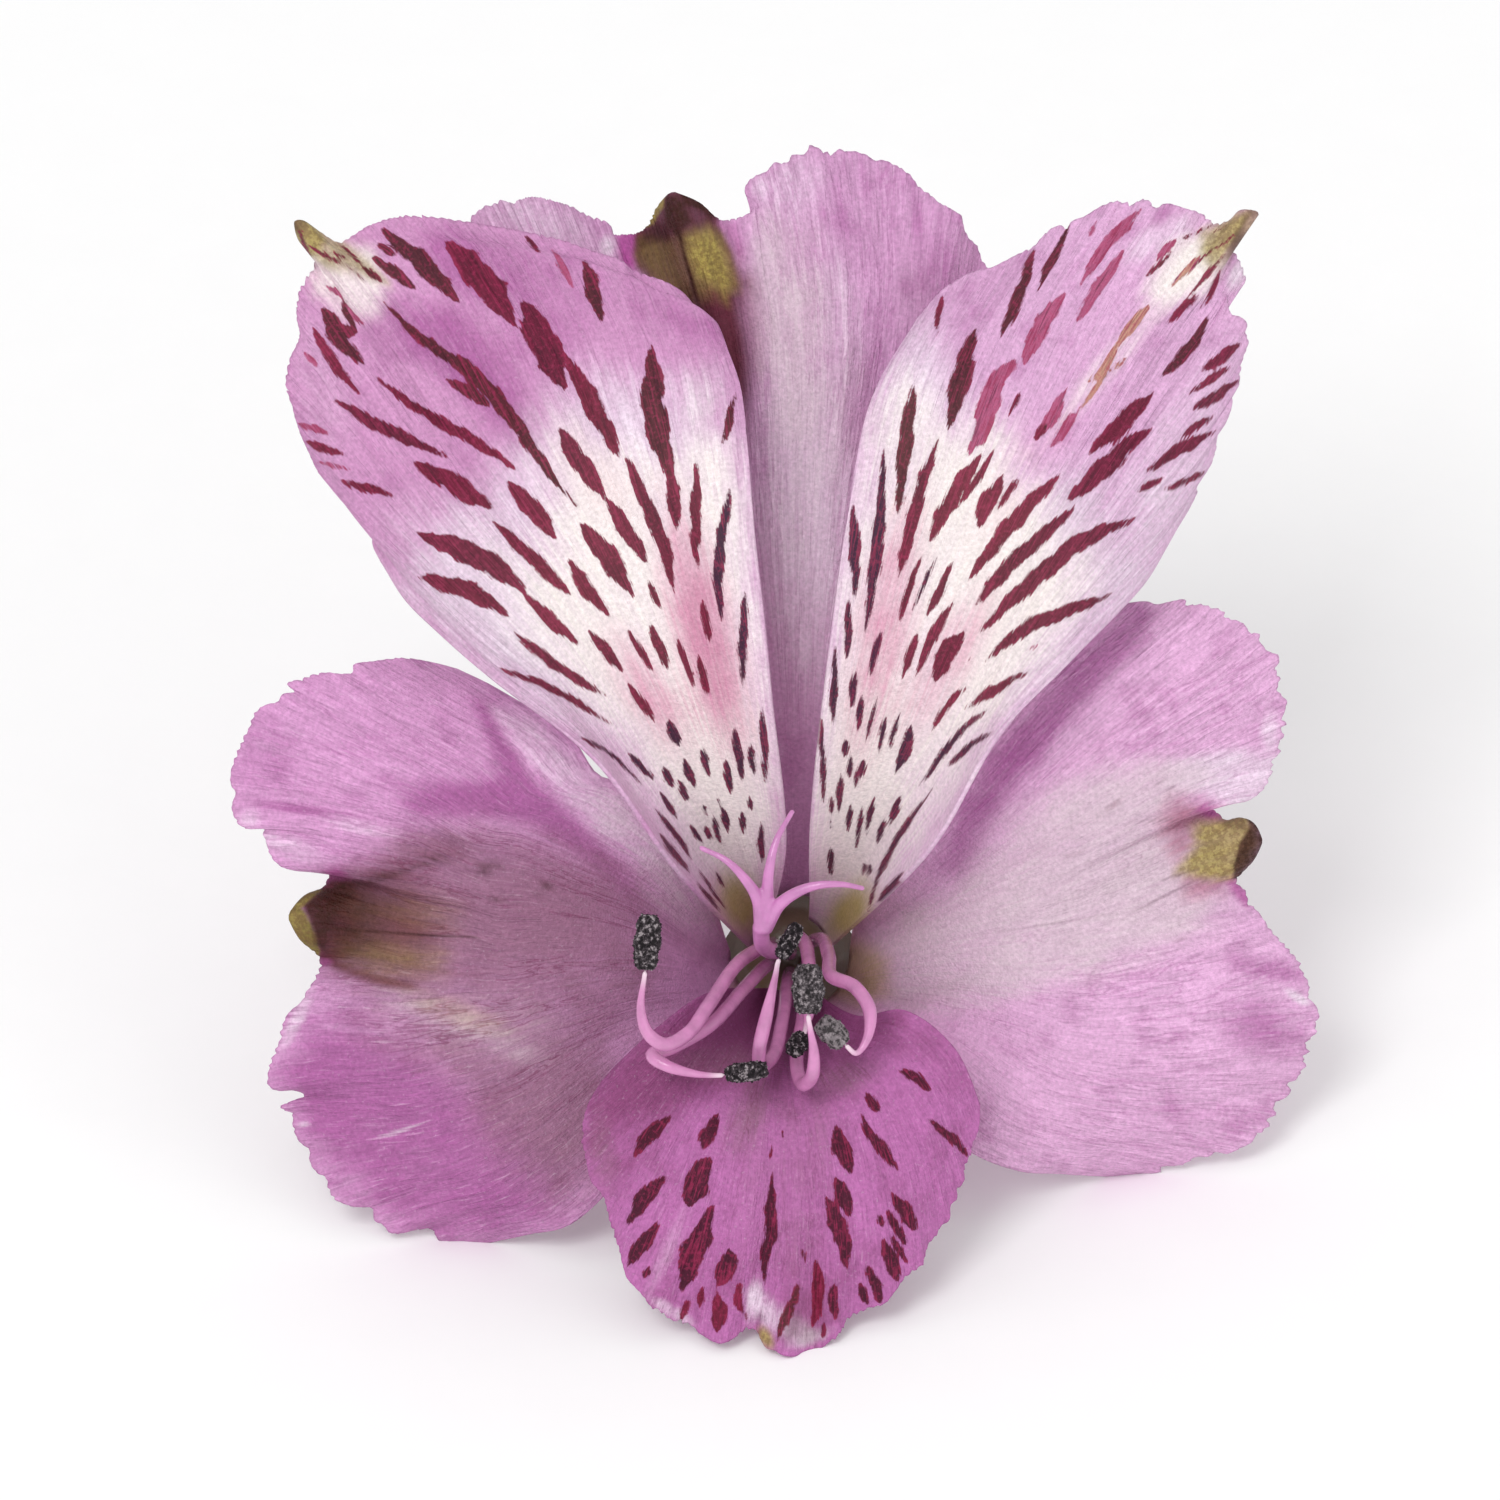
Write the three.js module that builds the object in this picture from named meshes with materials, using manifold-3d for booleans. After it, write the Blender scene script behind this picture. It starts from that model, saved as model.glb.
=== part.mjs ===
// One alstroemeria floret on its cut pedicel, lying on a level surface: six tepals, six stamens
// and a three-branched style, which grow from a ribbed ovary below the bloom.
// Millimetres, +Z up, surface at z = 0.
//
// The bloom is drawn in its own frame and then laid down as a whole. In that frame x runs to the
// right and y up across the face of the flower, and z runs forward along the flower's axis, from
// the top of the ovary towards whoever looks into the flower.
import * as THREE from "three";
import { mergeVertices } from "three/addons/utils/BufferGeometryUtils.js";
import Module from "manifold-3d";

const wasm = await Module();
wasm.setup();

// ---------------------------------------------------------------- driving dimensions
const FACE_UP = THREE.MathUtils.degToRad(35); // how far the face looks up from the level
const ROLL = THREE.MathUtils.degToRad(-4); // turn of the bloom about its own axis
const THROAT = [0.7, -16.54, 9.05]; // where the top of the ovary lies, bloom and pedicel centred
const SEAT = 0.3; // gap between the ovary and what grows from it
const BLADE = 0.64; // thickness of a tepal
const OUTER_RING = 4.0; // radius on which the three outer tepals grow
const INNER_RING = 2.65; // radius on which the three inner tepals grow
const STAMEN_RING = 1.25;
const FILAMENT = { foot: 0.46, tip: 0.3 }; // radii
const ANTHER_GAP = 0.35; // between a filament's tip and its anther
const OVARY = { length: 8.5, ribs: 6, ribDepth: 0.09 };
const PEDICEL = { radius: 1.25, neck: 1.6, bendRadius: 18.2, length: 58, cutSlant: 0.9 };

// ---------------------------------------------------------------- the tepals' shapes
// Each tepal is a patch between four edges across the face. sideA and sideB run from the claw to
// the widest part, marginA and marginB from there round to the pointed tip that each tepal
// carries. s runs across from -1 on side A to 1 on side B, and is 0 on the midrib. t runs from 0
// at the claw to 1 at the margin. ring holds the claw's place, as degrees at sides A and B.
const TEPALS = {
  inner_tepal_left: {
    ring: [172, 119],
    sideA: [[-7.2, 5.3], [-12.5, 12.5], [-19, 17.6], [-26.7, 25.7]],
    marginA: [[-27.4, 28.2], [-30.2, 30.6], [-32.2, 35], [-32.3, 38], [-31.4, 40.5],
      [-31.5, 43.2], [-30.7, 45.2]],
    tip: [-31.9, 47.2],
    marginB: [[-29.2, 46], [-25.3, 47.5], [-19.1, 47.1], [-12.1, 45.1]],
    sideB: [[-0.3, 6.5], [-1.1, 16], [-2.2, 26], [-3, 35.6], [-6.4, 41.9]],
    depth: { rise: 22, bend: 6, recurve: 4, twist: 0.5, cup: 1.6, lip: -1.8, ruffle: 0.5,
      waves: 7, phase: 0.6, crease: 1.1, creaseWidth: 0.2, horn: 1.2 },
    hornThickness: 0.5,
    colour: 0xd9a3cf,
  },
  inner_tepal_right: {
    ring: [61, 8],
    sideA: [[1.3, 8], [2.3, 18.1], [3.7, 28.4], [5.2, 35.6], [8.2, 41]],
    marginA: [[12, 44.1], [17.2, 46.8], [22.5, 48.6], [26.6, 47.5]],
    tip: [29.9, 47.9],
    marginB: [[28.6, 45.6], [28.9, 42.6], [29.4, 39.3], [28.4, 35.1], [26.5, 30.6]],
    sideB: [[9, 6.8], [13.2, 13.6], [18.2, 19], [24.6, 27]],
    depth: { rise: 22, bend: 6, recurve: 4.5, twist: -0.5, cup: 1.6, lip: -1.8, ruffle: 0.5,
      waves: 7, phase: 2.4, crease: 1.1, creaseWidth: 0.2, horn: 1.2 },
    hornThickness: 0.5,
    colour: 0xd9a3cf,
  },
  inner_tepal_lower: {
    ring: [242, 298],
    sideA: [[-5.2, -2.4], [-8.7, -4.8], [-12.1, -8.1]],
    marginA: [[-13.3, -11.6], [-12, -16], [-10.6, -20.2], [-7.2, -23.5], [-4.3, -25],
      [-2, -24.2]],
    tip: [-0.9, -25.4],
    marginB: [[1.6, -25.5], [4, -23.2], [7.4, -21.4], [9.4, -18.2], [11.3, -13.9]],
    sideB: [[4.4, -4], [7.4, -3.6], [10.5, -5.9], [12.3, -9.6]],
    depth: { rise: 23, bend: 5, recurve: 3, twist: 0, cup: -1.2, lip: -1.5, ruffle: 0.4,
      waves: 6, phase: 1.2, crease: 0.8, creaseWidth: 0.18, horn: 0.6 },
    hornThickness: 0.3,
    colour: 0xb868b4,
  },
  outer_tepal_left: {
    ring: [179, 233],
    sideA: [[-7, 6.4], [-11.6, 11], [-16, 15.2], [-21.5, 18.7]],
    marginA: [[-26.5, 18.9], [-31.6, 17.3], [-35.2, 13.8], [-35.8, 9.3], [-32.8, 5.9],
      [-29.7, 5.3]],
    tip: [-32.1, 2.6],
    marginB: [[-30.2, -0.9], [-32.2, -4], [-33.6, -8.4], [-31.4, -13], [-26.5, -17.4]],
    sideB: [[-7.2, -7.4], [-10.4, -13.6], [-14.2, -17.6], [-19.6, -18.7]],
    depth: { rise: 15, bend: 5, recurve: 5, twist: -2.15, cup: 0.8, lip: 0, ruffle: 0.6,
      waves: 6.5, phase: 0.4, crease: 2.2, creaseWidth: 0.2, horn: 1.5 },
    hornThickness: 1.3,
    colour: 0xcf8fca,
  },
  outer_tepal_right: {
    ring: [1, -53],
    sideA: [[8.4, 5.4], [12.8, 11.4], [17, 17], [22.4, 22.6]],
    marginA: [[26.4, 22.6], [30.2, 20.4], [31.9, 16.4], [30.9, 12.2], [27, 10.3]],
    tip: [30, 7.9],
    marginB: [[29, 4.6], [32.3, 0.2], [34.2, -4.2], [32, -9.2], [26.6, -13.2]],
    sideB: [[7.4, -7], [10.8, -11.6], [14.8, -13.8], [20.6, -14.4]],
    depth: { rise: 14.5, bend: 5, recurve: 5, twist: -3.8, cup: 0.8, lip: 0, ruffle: 0.6,
      waves: 6.5, phase: 1.9, crease: 2.2, creaseWidth: 0.2, horn: 1.5 },
    hornThickness: 1.3,
    colour: 0xcf8fca,
  },
  outer_tepal_top: {
    ring: [117, 63],
    sideA: [[-4, 12], [-9, 24], [-15.6, 36], [-20.6, 45.8]],
    marginA: [[-19.2, 48.5], [-15.6, 48.8], [-11.6, 46.6], [-9.2, 46.6]],
    tip: [-7.4, 49],
    marginB: [[-4.6, 47.3], [-2.4, 48.6], [-1.4, 51], [3.2, 52], [8.6, 49.2], [12.2, 45.4]],
    sideB: [[4.2, 12], [8.4, 22], [13.2, 31.5], [14.6, 40]],
    depth: { rise: 15.5, bend: 6, recurve: 4, twist: 0.6, cup: 0.4, lip: -0.6, ruffle: 0.5,
      waves: 8, phase: 0.9, crease: 2, creaseWidth: 0.2, horn: 1.5 },
    hornThickness: 1.3,
    colour: 0xcb94c9,
  },
};

// ---------------------------------------------------------------- the stamens and the style
// Routes in the bloom's frame, from the throat to the filament's tip. The first point, on the
// ring of the stamens, comes from foot, in degrees.
const STAMENS = [
  { // swings left and turns up, its anther facing forward
    foot: 150,
    route: [[-1.9, 0.4, 9], [-3.6, -0.8, 16.5], [-5.4, -3.4, 22.4], [-6.6, -5, 24.9],
      [-8.1, -5.7, 26.2], [-9.2, -4.9, 26.9], [-9.6, -3.4, 27.3], [-9.35, -1.2, 27.6]],
    anther: { to: [-9.05, 2.6, 28.1], width: 1.9, thickness: 1.5 },
    colour: 0x3a3840,
  },
  { // follows the first one from behind, doubles back and lies across the lower tepal
    foot: 210,
    route: [[-1.7, -0.9, 9], [-3, -2.2, 16], [-5.3, -4.6, 21.8], [-7.6, -5.9, 23.3],
      [-8.9, -6.4, 24.2], [-7.9, -7.1, 24.8], [-6.1, -7.6, 24.6], [-4.5, -7.7, 24.2]],
    anther: { to: [-1.5, -7.3, 24], width: 1.3, thickness: 1.2 },
    colour: 0x37333a,
  },
  { // dips below the throat and turns straight up
    foot: 270,
    route: [[-0.2, -2.1, 8], [-0.5, -4.2, 14.5], [-1.1, -6.5, 19.4], [-1.9, -7.1, 21.6],
      [-2, -6, 23.4], [-1.5, -3.7, 24.6], [-0.95, -1.2, 25.2], [-0.8, -0.4, 25.4]],
    anther: { to: [0.5, 2, 26], width: 1.2, thickness: 1.1 },
    colour: 0x352b38,
  },
  { // dips lowest, its broad anther facing forward
    foot: 330,
    route: [[1.2, -1.8, 8], [0.8, -4.2, 14.5], [0.4, -7.1, 20], [0.8, -8.3, 22.4],
      [1.4, -7.7, 24.2], [1.5, -6.2, 25.4], [1.3, -4.9, 26.2], [1.15, -4, 26.6]],
    anther: { to: [1.1, -0.6, 27.4], width: 2.1, thickness: 1.5 },
    colour: 0x3d3b44,
  },
  { // loops out to the right and comes back with a pale, opened anther
    foot: 30,
    route: [[2.1, 0.9, 8], [2.5, -0.2, 14.5], [2.7, -1.4, 19.4], [4.2, -2.1, 22],
      [5.1, -3.6, 23.4], [4.9, -5.4, 24.2], [4.2, -6.3, 24.5], [3.7, -5.9, 24.7]],
    anther: { to: [1.9, -4.2, 25], width: 1.7, thickness: 1.2 },
    colour: 0x8b7f80,
  },
  { // shortest, its anther low in the throat behind the others
    foot: 90,
    route: [[0.5, 1.15, 6], [1, 0.6, 9.5], [1.2, -0.6, 13.4], [1.3, -2.5, 16.8],
      [1.1, -4.2, 19.2], [0.9, -5, 20.2]],
    anther: { to: [0.1, -6.3, 22.3], width: 1.3, thickness: 1.1 },
    colour: 0x4a2343,
  },
];

const STYLE = {
  radius: 0.62,
  trunk: [[0, 0, SEAT], [-0.4, 0.2, 8], [-1.4, 0.3, 18], [-1.85, 0.9, 23], [-1.9, 2.1, 26]],
  branches: [
    [[-1.9, 1.5, 25.2], [-2.1, 3.6, 27.1], [-2.9, 4.9, 27.9], [-4.1, 6.1, 28.1], [-5.9, 7, 27.6]],
    [[-1.8, 1.5, 25.2], [-1.5, 3.6, 26.9], [-1.4, 5.3, 27.6], [-0.9, 7.4, 27.7], [0.2, 9.4, 27]],
    [[-1.7, 1.5, 25.2], [-0.6, 3.4, 27.3], [1.2, 4.4, 28.1], [3.1, 4.6, 28.2], [4.8, 4.3, 27.5]],
  ],
};

// ---------------------------------------------------------------- closed solids
// Turns merged positions and triangles into a geometry with flat faces.
function geometryOf(positions, triangles) {
  const geometry = new THREE.BufferGeometry();
  geometry.setAttribute("position", new THREE.Float32BufferAttribute(positions, 3));
  geometry.setIndex(triangles);
  return geometry;
}

function solidOf(geometry) {
  const bare = new THREE.BufferGeometry();
  bare.setAttribute("position", geometry.getAttribute("position"));
  bare.setIndex(geometry.index);
  const merged = mergeVertices(bare, 1e-4);
  return new wasm.Manifold(new wasm.Mesh({
    numProp: 3,
    vertProperties: merged.attributes.position.array,
    triVerts: new Uint32Array(merged.index.array),
  }));
}

function geometryOfSolid(solid) {
  const mesh = solid.getMesh();
  return geometryOf(mesh.vertProperties, Array.from(mesh.triVerts));
}

// Sections are closed rings of equal length, in order along the body, and wind anticlockwise
// when the body is seen from its far end.
function loft(sections) {
  const sides = sections[0].length;
  const positions = sections.flat().flatMap((p) => p.toArray());
  const triangles = [];
  for (let i = 0; i + 1 < sections.length; i++) {
    for (let j = 0; j < sides; j++) {
      const [a, b] = [i * sides + j, i * sides + ((j + 1) % sides)];
      triangles.push(a, b, b + sides, a, b + sides, a + sides);
    }
  }
  [0, sections.length - 1].forEach((at, end) => {
    const centre = positions.length / 3;
    const middle = sections[at].reduce((sum, p) => sum.add(p), new THREE.Vector3());
    positions.push(...middle.divideScalar(sides).toArray());
    for (let j = 0; j < sides; j++) {
      const [a, b] = [at * sides + j, at * sides + ((j + 1) % sides)];
      triangles.push(centre, end ? a : b, end ? b : a);
    }
  });
  return geometryOf(positions, triangles);
}

// A round body along a curve, whose radius is a function of the way along it, 0 to 1.
function tapered(points, radius, sides, steps) {
  const curve = new THREE.CatmullRomCurve3(points.map((p) => new THREE.Vector3(...p)));
  const { normals, binormals } = curve.computeFrenetFrames(steps);
  const sections = [];
  for (let i = 0; i <= steps; i++) {
    const centre = curve.getPointAt(i / steps);
    const ring = [];
    for (let j = 0; j < sides; j++) {
      const angle = (2 * Math.PI * j) / sides;
      ring.push(centre.clone()
        .addScaledVector(normals[i], radius(i / steps) * Math.cos(angle))
        .addScaledVector(binormals[i], radius(i / steps) * Math.sin(angle)));
    }
    sections.push(ring);
  }
  return loft(sections);
}

// ---------------------------------------------------------------- tepals
const onRing = (radius, degrees) => {
  const angle = THREE.MathUtils.degToRad(degrees);
  return [radius * Math.cos(angle), radius * Math.sin(angle)];
};

function edge(points) {
  return new THREE.CatmullRomCurve3(points.map(([x, y]) => new THREE.Vector3(x, y, 0)));
}

// Where the patch lies across the face, for s in -1..1 and t in 0..1.
function facePatch(tepal, ringRadius) {
  const [startA, startB] = tepal.ring.map((degrees) => onRing(ringRadius, degrees));
  const sideA = edge([startA, ...tepal.sideA]);
  const sideB = edge([startB, ...tepal.sideB]);
  const marginA = edge([tepal.sideA.at(-1), ...tepal.marginA, tepal.tip]);
  const marginB = edge([tepal.tip, ...tepal.marginB, tepal.sideB.at(-1)]);
  const margin = (s) => (s < 0 ? marginA.getPointAt(s + 1) : marginB.getPointAt(s));
  const rounded = new THREE.CatmullRomCurve3([-1, -0.5, 0, 0.5, 1].map(margin));
  const corner = [sideA.getPointAt(0), sideB.getPointAt(0), sideA.getPointAt(1), sideB.getPointAt(1)];
  return (s, t) => {
    const across = (s + 1) / 2;
    const claw = new THREE.Vector3(...onRing(ringRadius,
      THREE.MathUtils.lerp(tepal.ring[0], tepal.ring[1], across)), 0);
    const notch = margin(s).sub(rounded.getPoint(across)); // fades inwards from the margin
    return new THREE.Vector3()
      .addScaledVector(sideA.getPointAt(t), 1 - across)
      .addScaledVector(sideB.getPointAt(t), across)
      .addScaledVector(claw, 1 - t)
      .addScaledVector(rounded.getPoint(across), t)
      .addScaledVector(corner[0], -(1 - across) * (1 - t))
      .addScaledVector(corner[1], -across * (1 - t))
      .addScaledVector(corner[2], -(1 - across) * t)
      .addScaledVector(corner[3], -across * t)
      .addScaledVector(notch, t ** 5);
  };
}

const HORN_WIDTH = 0.07; // of s, on each side of the midrib
const hornAt = (s, t) =>
  Math.exp(-((s / HORN_WIDTH) ** 2)) * THREE.MathUtils.smoothstep(t, 0.86, 1);

// How far forward the tepal stands: it climbs steeply out of the throat and then spreads.
function depthAt(d, s, t) {
  const climb = (1 - Math.exp(-d.bend * t)) / (1 - Math.exp(-d.bend));
  return SEAT + BLADE / 2 + d.rise * climb - d.recurve * t ** 3
    + d.twist * s * t ** 2
    + d.cup * s ** 2 * Math.sin(Math.PI * t)
    + d.lip * s ** 2 * t ** 3
    + d.ruffle * Math.sin(d.waves * s + d.phase) * t ** 5
    - d.crease * Math.exp(-((s / d.creaseWidth) ** 2)) * t ** 2
    + d.horn * hornAt(s, t);
}

const ACROSS = 26; // cells from side A to side B, an even number
const ALONG = 10; // cells from the claw to the margin

function tepalGeometry(tepal, ringRadius) {
  const patch = facePatch(tepal, ringRadius);
  const at = (s, t) => patch(s, t).setZ(depthAt(tepal.depth, s, t));
  const middle = [];
  const front = [];
  const back = [];
  const STEP = 1e-3;
  for (let i = 0; i <= ACROSS; i++) {
    const u = (2 * i) / ACROSS - 1;
    const s = Math.sign(u) * Math.abs(u) ** 1.2; // closer together beside the midrib
    for (let j = 0; j <= ALONG; j++) {
      const t = (j / ALONG) ** 1.2; // and in the steep throat
      const [s0, t0] = [Math.max(s - STEP, -1), Math.max(t - STEP, 0)];
      const [s1, t1] = [Math.min(s + STEP, 1), Math.min(t + STEP, 1)];
      const alongS = at(s1, t).sub(at(s0, t));
      const alongT = at(s, t1).sub(at(s, t0));
      const normal = alongT.cross(alongS).normalize();
      const half = BLADE / 2 + tepal.hornThickness * hornAt(s, t) / 2;
      const point = at(s, t);
      middle.push(point);
      front.push(point.clone().addScaledVector(normal, half));
      back.push(point.clone().addScaledVector(normal, -half));
    }
  }
  const count = middle.length;
  const rows = ALONG + 1;
  const triangles = [];
  const both = (a, b, c) => triangles.push(a, b, c, a + count, c + count, b + count);
  for (let i = 0; i < ACROSS; i++) {
    for (let j = 0; j < ALONG; j++) {
      const [a, b] = [i * rows + j, i * rows + j + 1];
      const [c, d] = [a + rows, b + rows];
      if (middle[a].distanceTo(middle[d]) < middle[b].distanceTo(middle[c])) {
        both(a, b, d);
        both(a, d, c);
      } else {
        both(a, b, c);
        both(b, d, c);
      }
    }
  }
  const rim = [];
  for (let j = 0; j < ALONG; j++) rim.push(j);
  for (let i = 0; i < ACROSS; i++) rim.push(i * rows + ALONG);
  for (let j = ALONG; j > 0; j--) rim.push(ACROSS * rows + j);
  for (let i = ACROSS; i > 0; i--) rim.push(i * rows);
  rim.forEach((a, k) => {
    const b = rim[(k + 1) % rim.length];
    triangles.push(b, a, a + count, b, a + count, b + count);
  });
  return geometryOf([...front, ...back].flatMap((p) => p.toArray()), triangles);
}

// ---------------------------------------------------------------- stamens and style
function filamentGeometry(stamen) {
  const foot = [...onRing(STAMEN_RING, stamen.foot), SEAT];
  const { foot: wide, tip: narrow } = FILAMENT;
  const radius = (v) => THREE.MathUtils.lerp(wide, narrow, THREE.MathUtils.smoothstep(v, 0.7, 1));
  return tapered([foot, ...stamen.route], radius, 7, 16);
}

// Two pollen sacs side by side: an oblong body with a furrow down its front and back.
function antherGeometry(stamen) {
  const from = new THREE.Vector3(...stamen.route.at(-1));
  const to = new THREE.Vector3(...stamen.anther.to);
  const axis = to.clone().sub(from).normalize();
  const length = from.distanceTo(to) - ANTHER_GAP;
  const acrossFace = new THREE.Vector3(0, 0, 1).cross(axis).normalize();
  const outOfFace = axis.clone().cross(acrossFace);
  const { width, thickness } = stamen.anther;
  const sections = [];
  const STEPS = 6;
  const SIDES = 10;
  for (let i = 0; i <= STEPS; i++) {
    const v = (i + 0.35) / (STEPS + 0.7);
    const full = Math.sin(Math.PI * v) ** 0.45;
    const centre = from.clone().addScaledVector(axis, ANTHER_GAP + (length * i) / STEPS);
    sections.push(Array.from({ length: SIDES }, (_, j) => {
      const angle = (2 * Math.PI * j) / SIDES;
      const furrow = 1 - 0.3 * Math.abs(Math.sin(angle)) ** 6;
      return centre.clone()
        .addScaledVector(acrossFace, (width / 2) * full * Math.cos(angle))
        .addScaledVector(outOfFace, (thickness / 2) * full * furrow * Math.sin(angle));
    }));
  }
  return loft(sections);
}

function styleGeometry() {
  const trunk = tapered(STYLE.trunk, (v) => THREE.MathUtils.lerp(0.42, STYLE.radius, v), 8, 10);
  return geometryOfSolid(STYLE.branches.reduce((joined, route) => {
    const branch = tapered(route, (v) => THREE.MathUtils.lerp(0.4, 0.14, v), 7, 9);
    return joined.add(solidOf(branch));
  }, solidOf(trunk)));
}

// ---------------------------------------------------------------- ovary and pedicel
// The ovary narrows backwards from the bloom in six soft ribs.
function ovaryGeometry() {
  const profile = new THREE.CatmullRomCurve3([
    [PEDICEL.neck, -OVARY.length], [2.7, -7], [3.4, -4.4], [3.9, -1.8], [4.45, 0],
  ].map(([radius, z]) => new THREE.Vector3(radius, 0, z)));
  const SIDES = 4 * OVARY.ribs;
  const sections = profile.getSpacedPoints(7).map(({ x: radius, z }) =>
    Array.from({ length: SIDES }, (_, j) => {
      const angle = (2 * Math.PI * j) / SIDES;
      const ribbed = radius * (1 + OVARY.ribDepth * (Math.cos(OVARY.ribs * angle) - 1) / 2
        * Math.min(1, (z + OVARY.length) / 2));
      return new THREE.Vector3(ribbed * Math.cos(angle), ribbed * Math.sin(angle), z);
    }));
  return loft(sections);
}

// In the frame of the surface: from the back of the ovary down in an arc, then straight along
// the surface, with a flat where it rests and a slanting cut at its end.
function pedicelGeometry(neck, direction) {
  const { radius, bendRadius, length, cutSlant } = PEDICEL;
  const start = neck.clone().addScaledVector(direction, SEAT);
  const path = new THREE.CurvePath();
  const arc = new THREE.CatmullRomCurve3(Array.from({ length: 7 }, (_, i) => {
    const angle = FACE_UP * (1 - i / 6);
    return new THREE.Vector3(start.x,
      start.y + bendRadius * (Math.sin(FACE_UP) - Math.sin(angle)),
      start.z - bendRadius * (Math.cos(angle) - Math.cos(FACE_UP)));
  }));
  const arcEnd = arc.getPoint(1);
  const end = arcEnd.clone().add(new THREE.Vector3(0, length - bendRadius * FACE_UP, 0));
  path.add(arc);
  path.add(new THREE.LineCurve3(arcEnd, end));
  const sections = [];
  const STEPS = 22;
  const SIDES = 14;
  for (let i = 0; i <= STEPS; i++) {
    const v = i / STEPS;
    const centre = path.getPointAt(v);
    const forward = path.getTangentAt(v);
    const side = new THREE.Vector3(1, 0, 0);
    const down = forward.clone().cross(side);
    const wide = THREE.MathUtils.lerp(PEDICEL.neck, radius, THREE.MathUtils.smoothstep(v, 0, 0.12));
    sections.push(Array.from({ length: SIDES }, (_, j) => {
      const angle = (2 * Math.PI * (j + 0.5)) / SIDES;
      const point = centre.clone()
        .addScaledVector(side, wide * Math.cos(angle))
        .addScaledVector(down, wide * Math.sin(angle));
      if (i === STEPS) point.y += cutSlant * Math.sin(angle);
      return point;
    }));
  }
  return loft(sections);
}

// ---------------------------------------------------------------- what lies on the surface
// Cuts off the little that reaches below z = 0, which leaves a flat where the piece rests.
// matrix is the place of the frame that the geometry is in.
function restOnSurface(geometry, matrix) {
  const ROOM = 400;
  const below = new THREE.BoxGeometry(ROOM, ROOM, ROOM).translate(0, 0, -ROOM / 2);
  below.applyMatrix4(matrix.clone().invert());
  return geometryOfSolid(solidOf(geometry).subtract(solidOf(below)));
}

// ---------------------------------------------------------------- the flower
const flower = new THREE.Group();
const bloom = new THREE.Group();
bloom.position.set(...THROAT);
bloom.rotation.set(Math.PI / 2 - FACE_UP, 0, ROLL);
bloom.updateMatrix();
flower.add(bloom);

function addPiece(group, name, geometry, colour, roughness) {
  geometry.computeVertexNormals();
  const material = new THREE.MeshStandardMaterial({ color: colour, roughness, metalness: 0 });
  const mesh = new THREE.Mesh(geometry, material);
  mesh.name = name;
  group.add(mesh);
}

for (const [name, tepal] of Object.entries(TEPALS)) {
  const ringRadius = name.startsWith("inner") ? INNER_RING : OUTER_RING;
  const whole = tepalGeometry(tepal, ringRadius);
  addPiece(bloom, name, restOnSurface(whole, bloom.matrix), tepal.colour, 0.55);
}
STAMENS.forEach((stamen, i) => {
  addPiece(bloom, `filament_${i + 1}`, filamentGeometry(stamen), 0xb766b0, 0.35);
  addPiece(bloom, `anther_${i + 1}`, antherGeometry(stamen), stamen.colour, 0.9);
});
addPiece(bloom, "style", styleGeometry(), 0xbb6fb9, 0.35);
addPiece(bloom, "ovary", ovaryGeometry(), 0x7f9a52, 0.5);

const neck = new THREE.Vector3(0, 0, -OVARY.length).applyMatrix4(bloom.matrix);
const backwards = new THREE.Vector3(0, 0, -1).transformDirection(bloom.matrix);
const pedicel = restOnSurface(pedicelGeometry(neck, backwards), new THREE.Matrix4());
addPiece(flower, "pedicel", pedicel, 0x6f9447, 0.5);

export default flower;
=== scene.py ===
"""The looks of one alstroemeria floret on its cut pedicel, lying on a pale surface.

Laid out as an add-on: sizes and colours are properties, each group of like pieces has an operator,
and a panel in the 3D view lists them. The bloom is drawn in its own frame, in millimetres: x to
the right and y up across its face, z forward along the flower's axis. place() lays it down.
"""

import math

import bpy
import numpy as np
from bpy.props import FloatProperty, FloatVectorProperty, IntProperty, PointerProperty
from mathutils import Euler, Matrix, Vector


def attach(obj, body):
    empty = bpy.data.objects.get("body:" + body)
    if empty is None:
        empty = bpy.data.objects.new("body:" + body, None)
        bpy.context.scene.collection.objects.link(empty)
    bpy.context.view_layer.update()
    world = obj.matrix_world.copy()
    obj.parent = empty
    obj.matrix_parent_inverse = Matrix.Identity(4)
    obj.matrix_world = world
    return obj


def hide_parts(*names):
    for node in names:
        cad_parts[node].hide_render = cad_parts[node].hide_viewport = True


bl_info = {
    "name": "Alstroemeria floret",
    "version": (1, 0, 0),
    "blender": (4, 5, 0),
    "location": "3D View > Sidebar > Floret",
    "description": "Builds the tepals, stamens, style, ovary and pedicel of one alstroemeria floret",
    "category": "Add Mesh",
}

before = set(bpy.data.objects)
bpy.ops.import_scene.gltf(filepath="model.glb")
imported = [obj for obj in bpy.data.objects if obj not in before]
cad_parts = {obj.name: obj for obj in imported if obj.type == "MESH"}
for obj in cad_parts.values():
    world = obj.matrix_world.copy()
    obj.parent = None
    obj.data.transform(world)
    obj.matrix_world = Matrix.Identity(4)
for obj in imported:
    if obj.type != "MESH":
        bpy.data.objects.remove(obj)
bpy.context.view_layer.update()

MM = 0.001

# ------------------------------------------------------------------ where the bloom lies
FACE_UP = math.radians(35)  # how far the face looks up from the level
ROLL = math.radians(-4)  # turn of the bloom about its own axis
THROAT = (0.7, -16.54, 9.05)  # the top of the ovary
SEAT = 0.3  # gap between the ovary and what grows from it
BLADE = 0.64  # thickness of the solid that a tepal stands for
OUTER_RING = 4.0  # radius of the ring on the ovary from which the outer tepals grow
INNER_RING = 2.65
STAMEN_RING = 1.25

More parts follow.
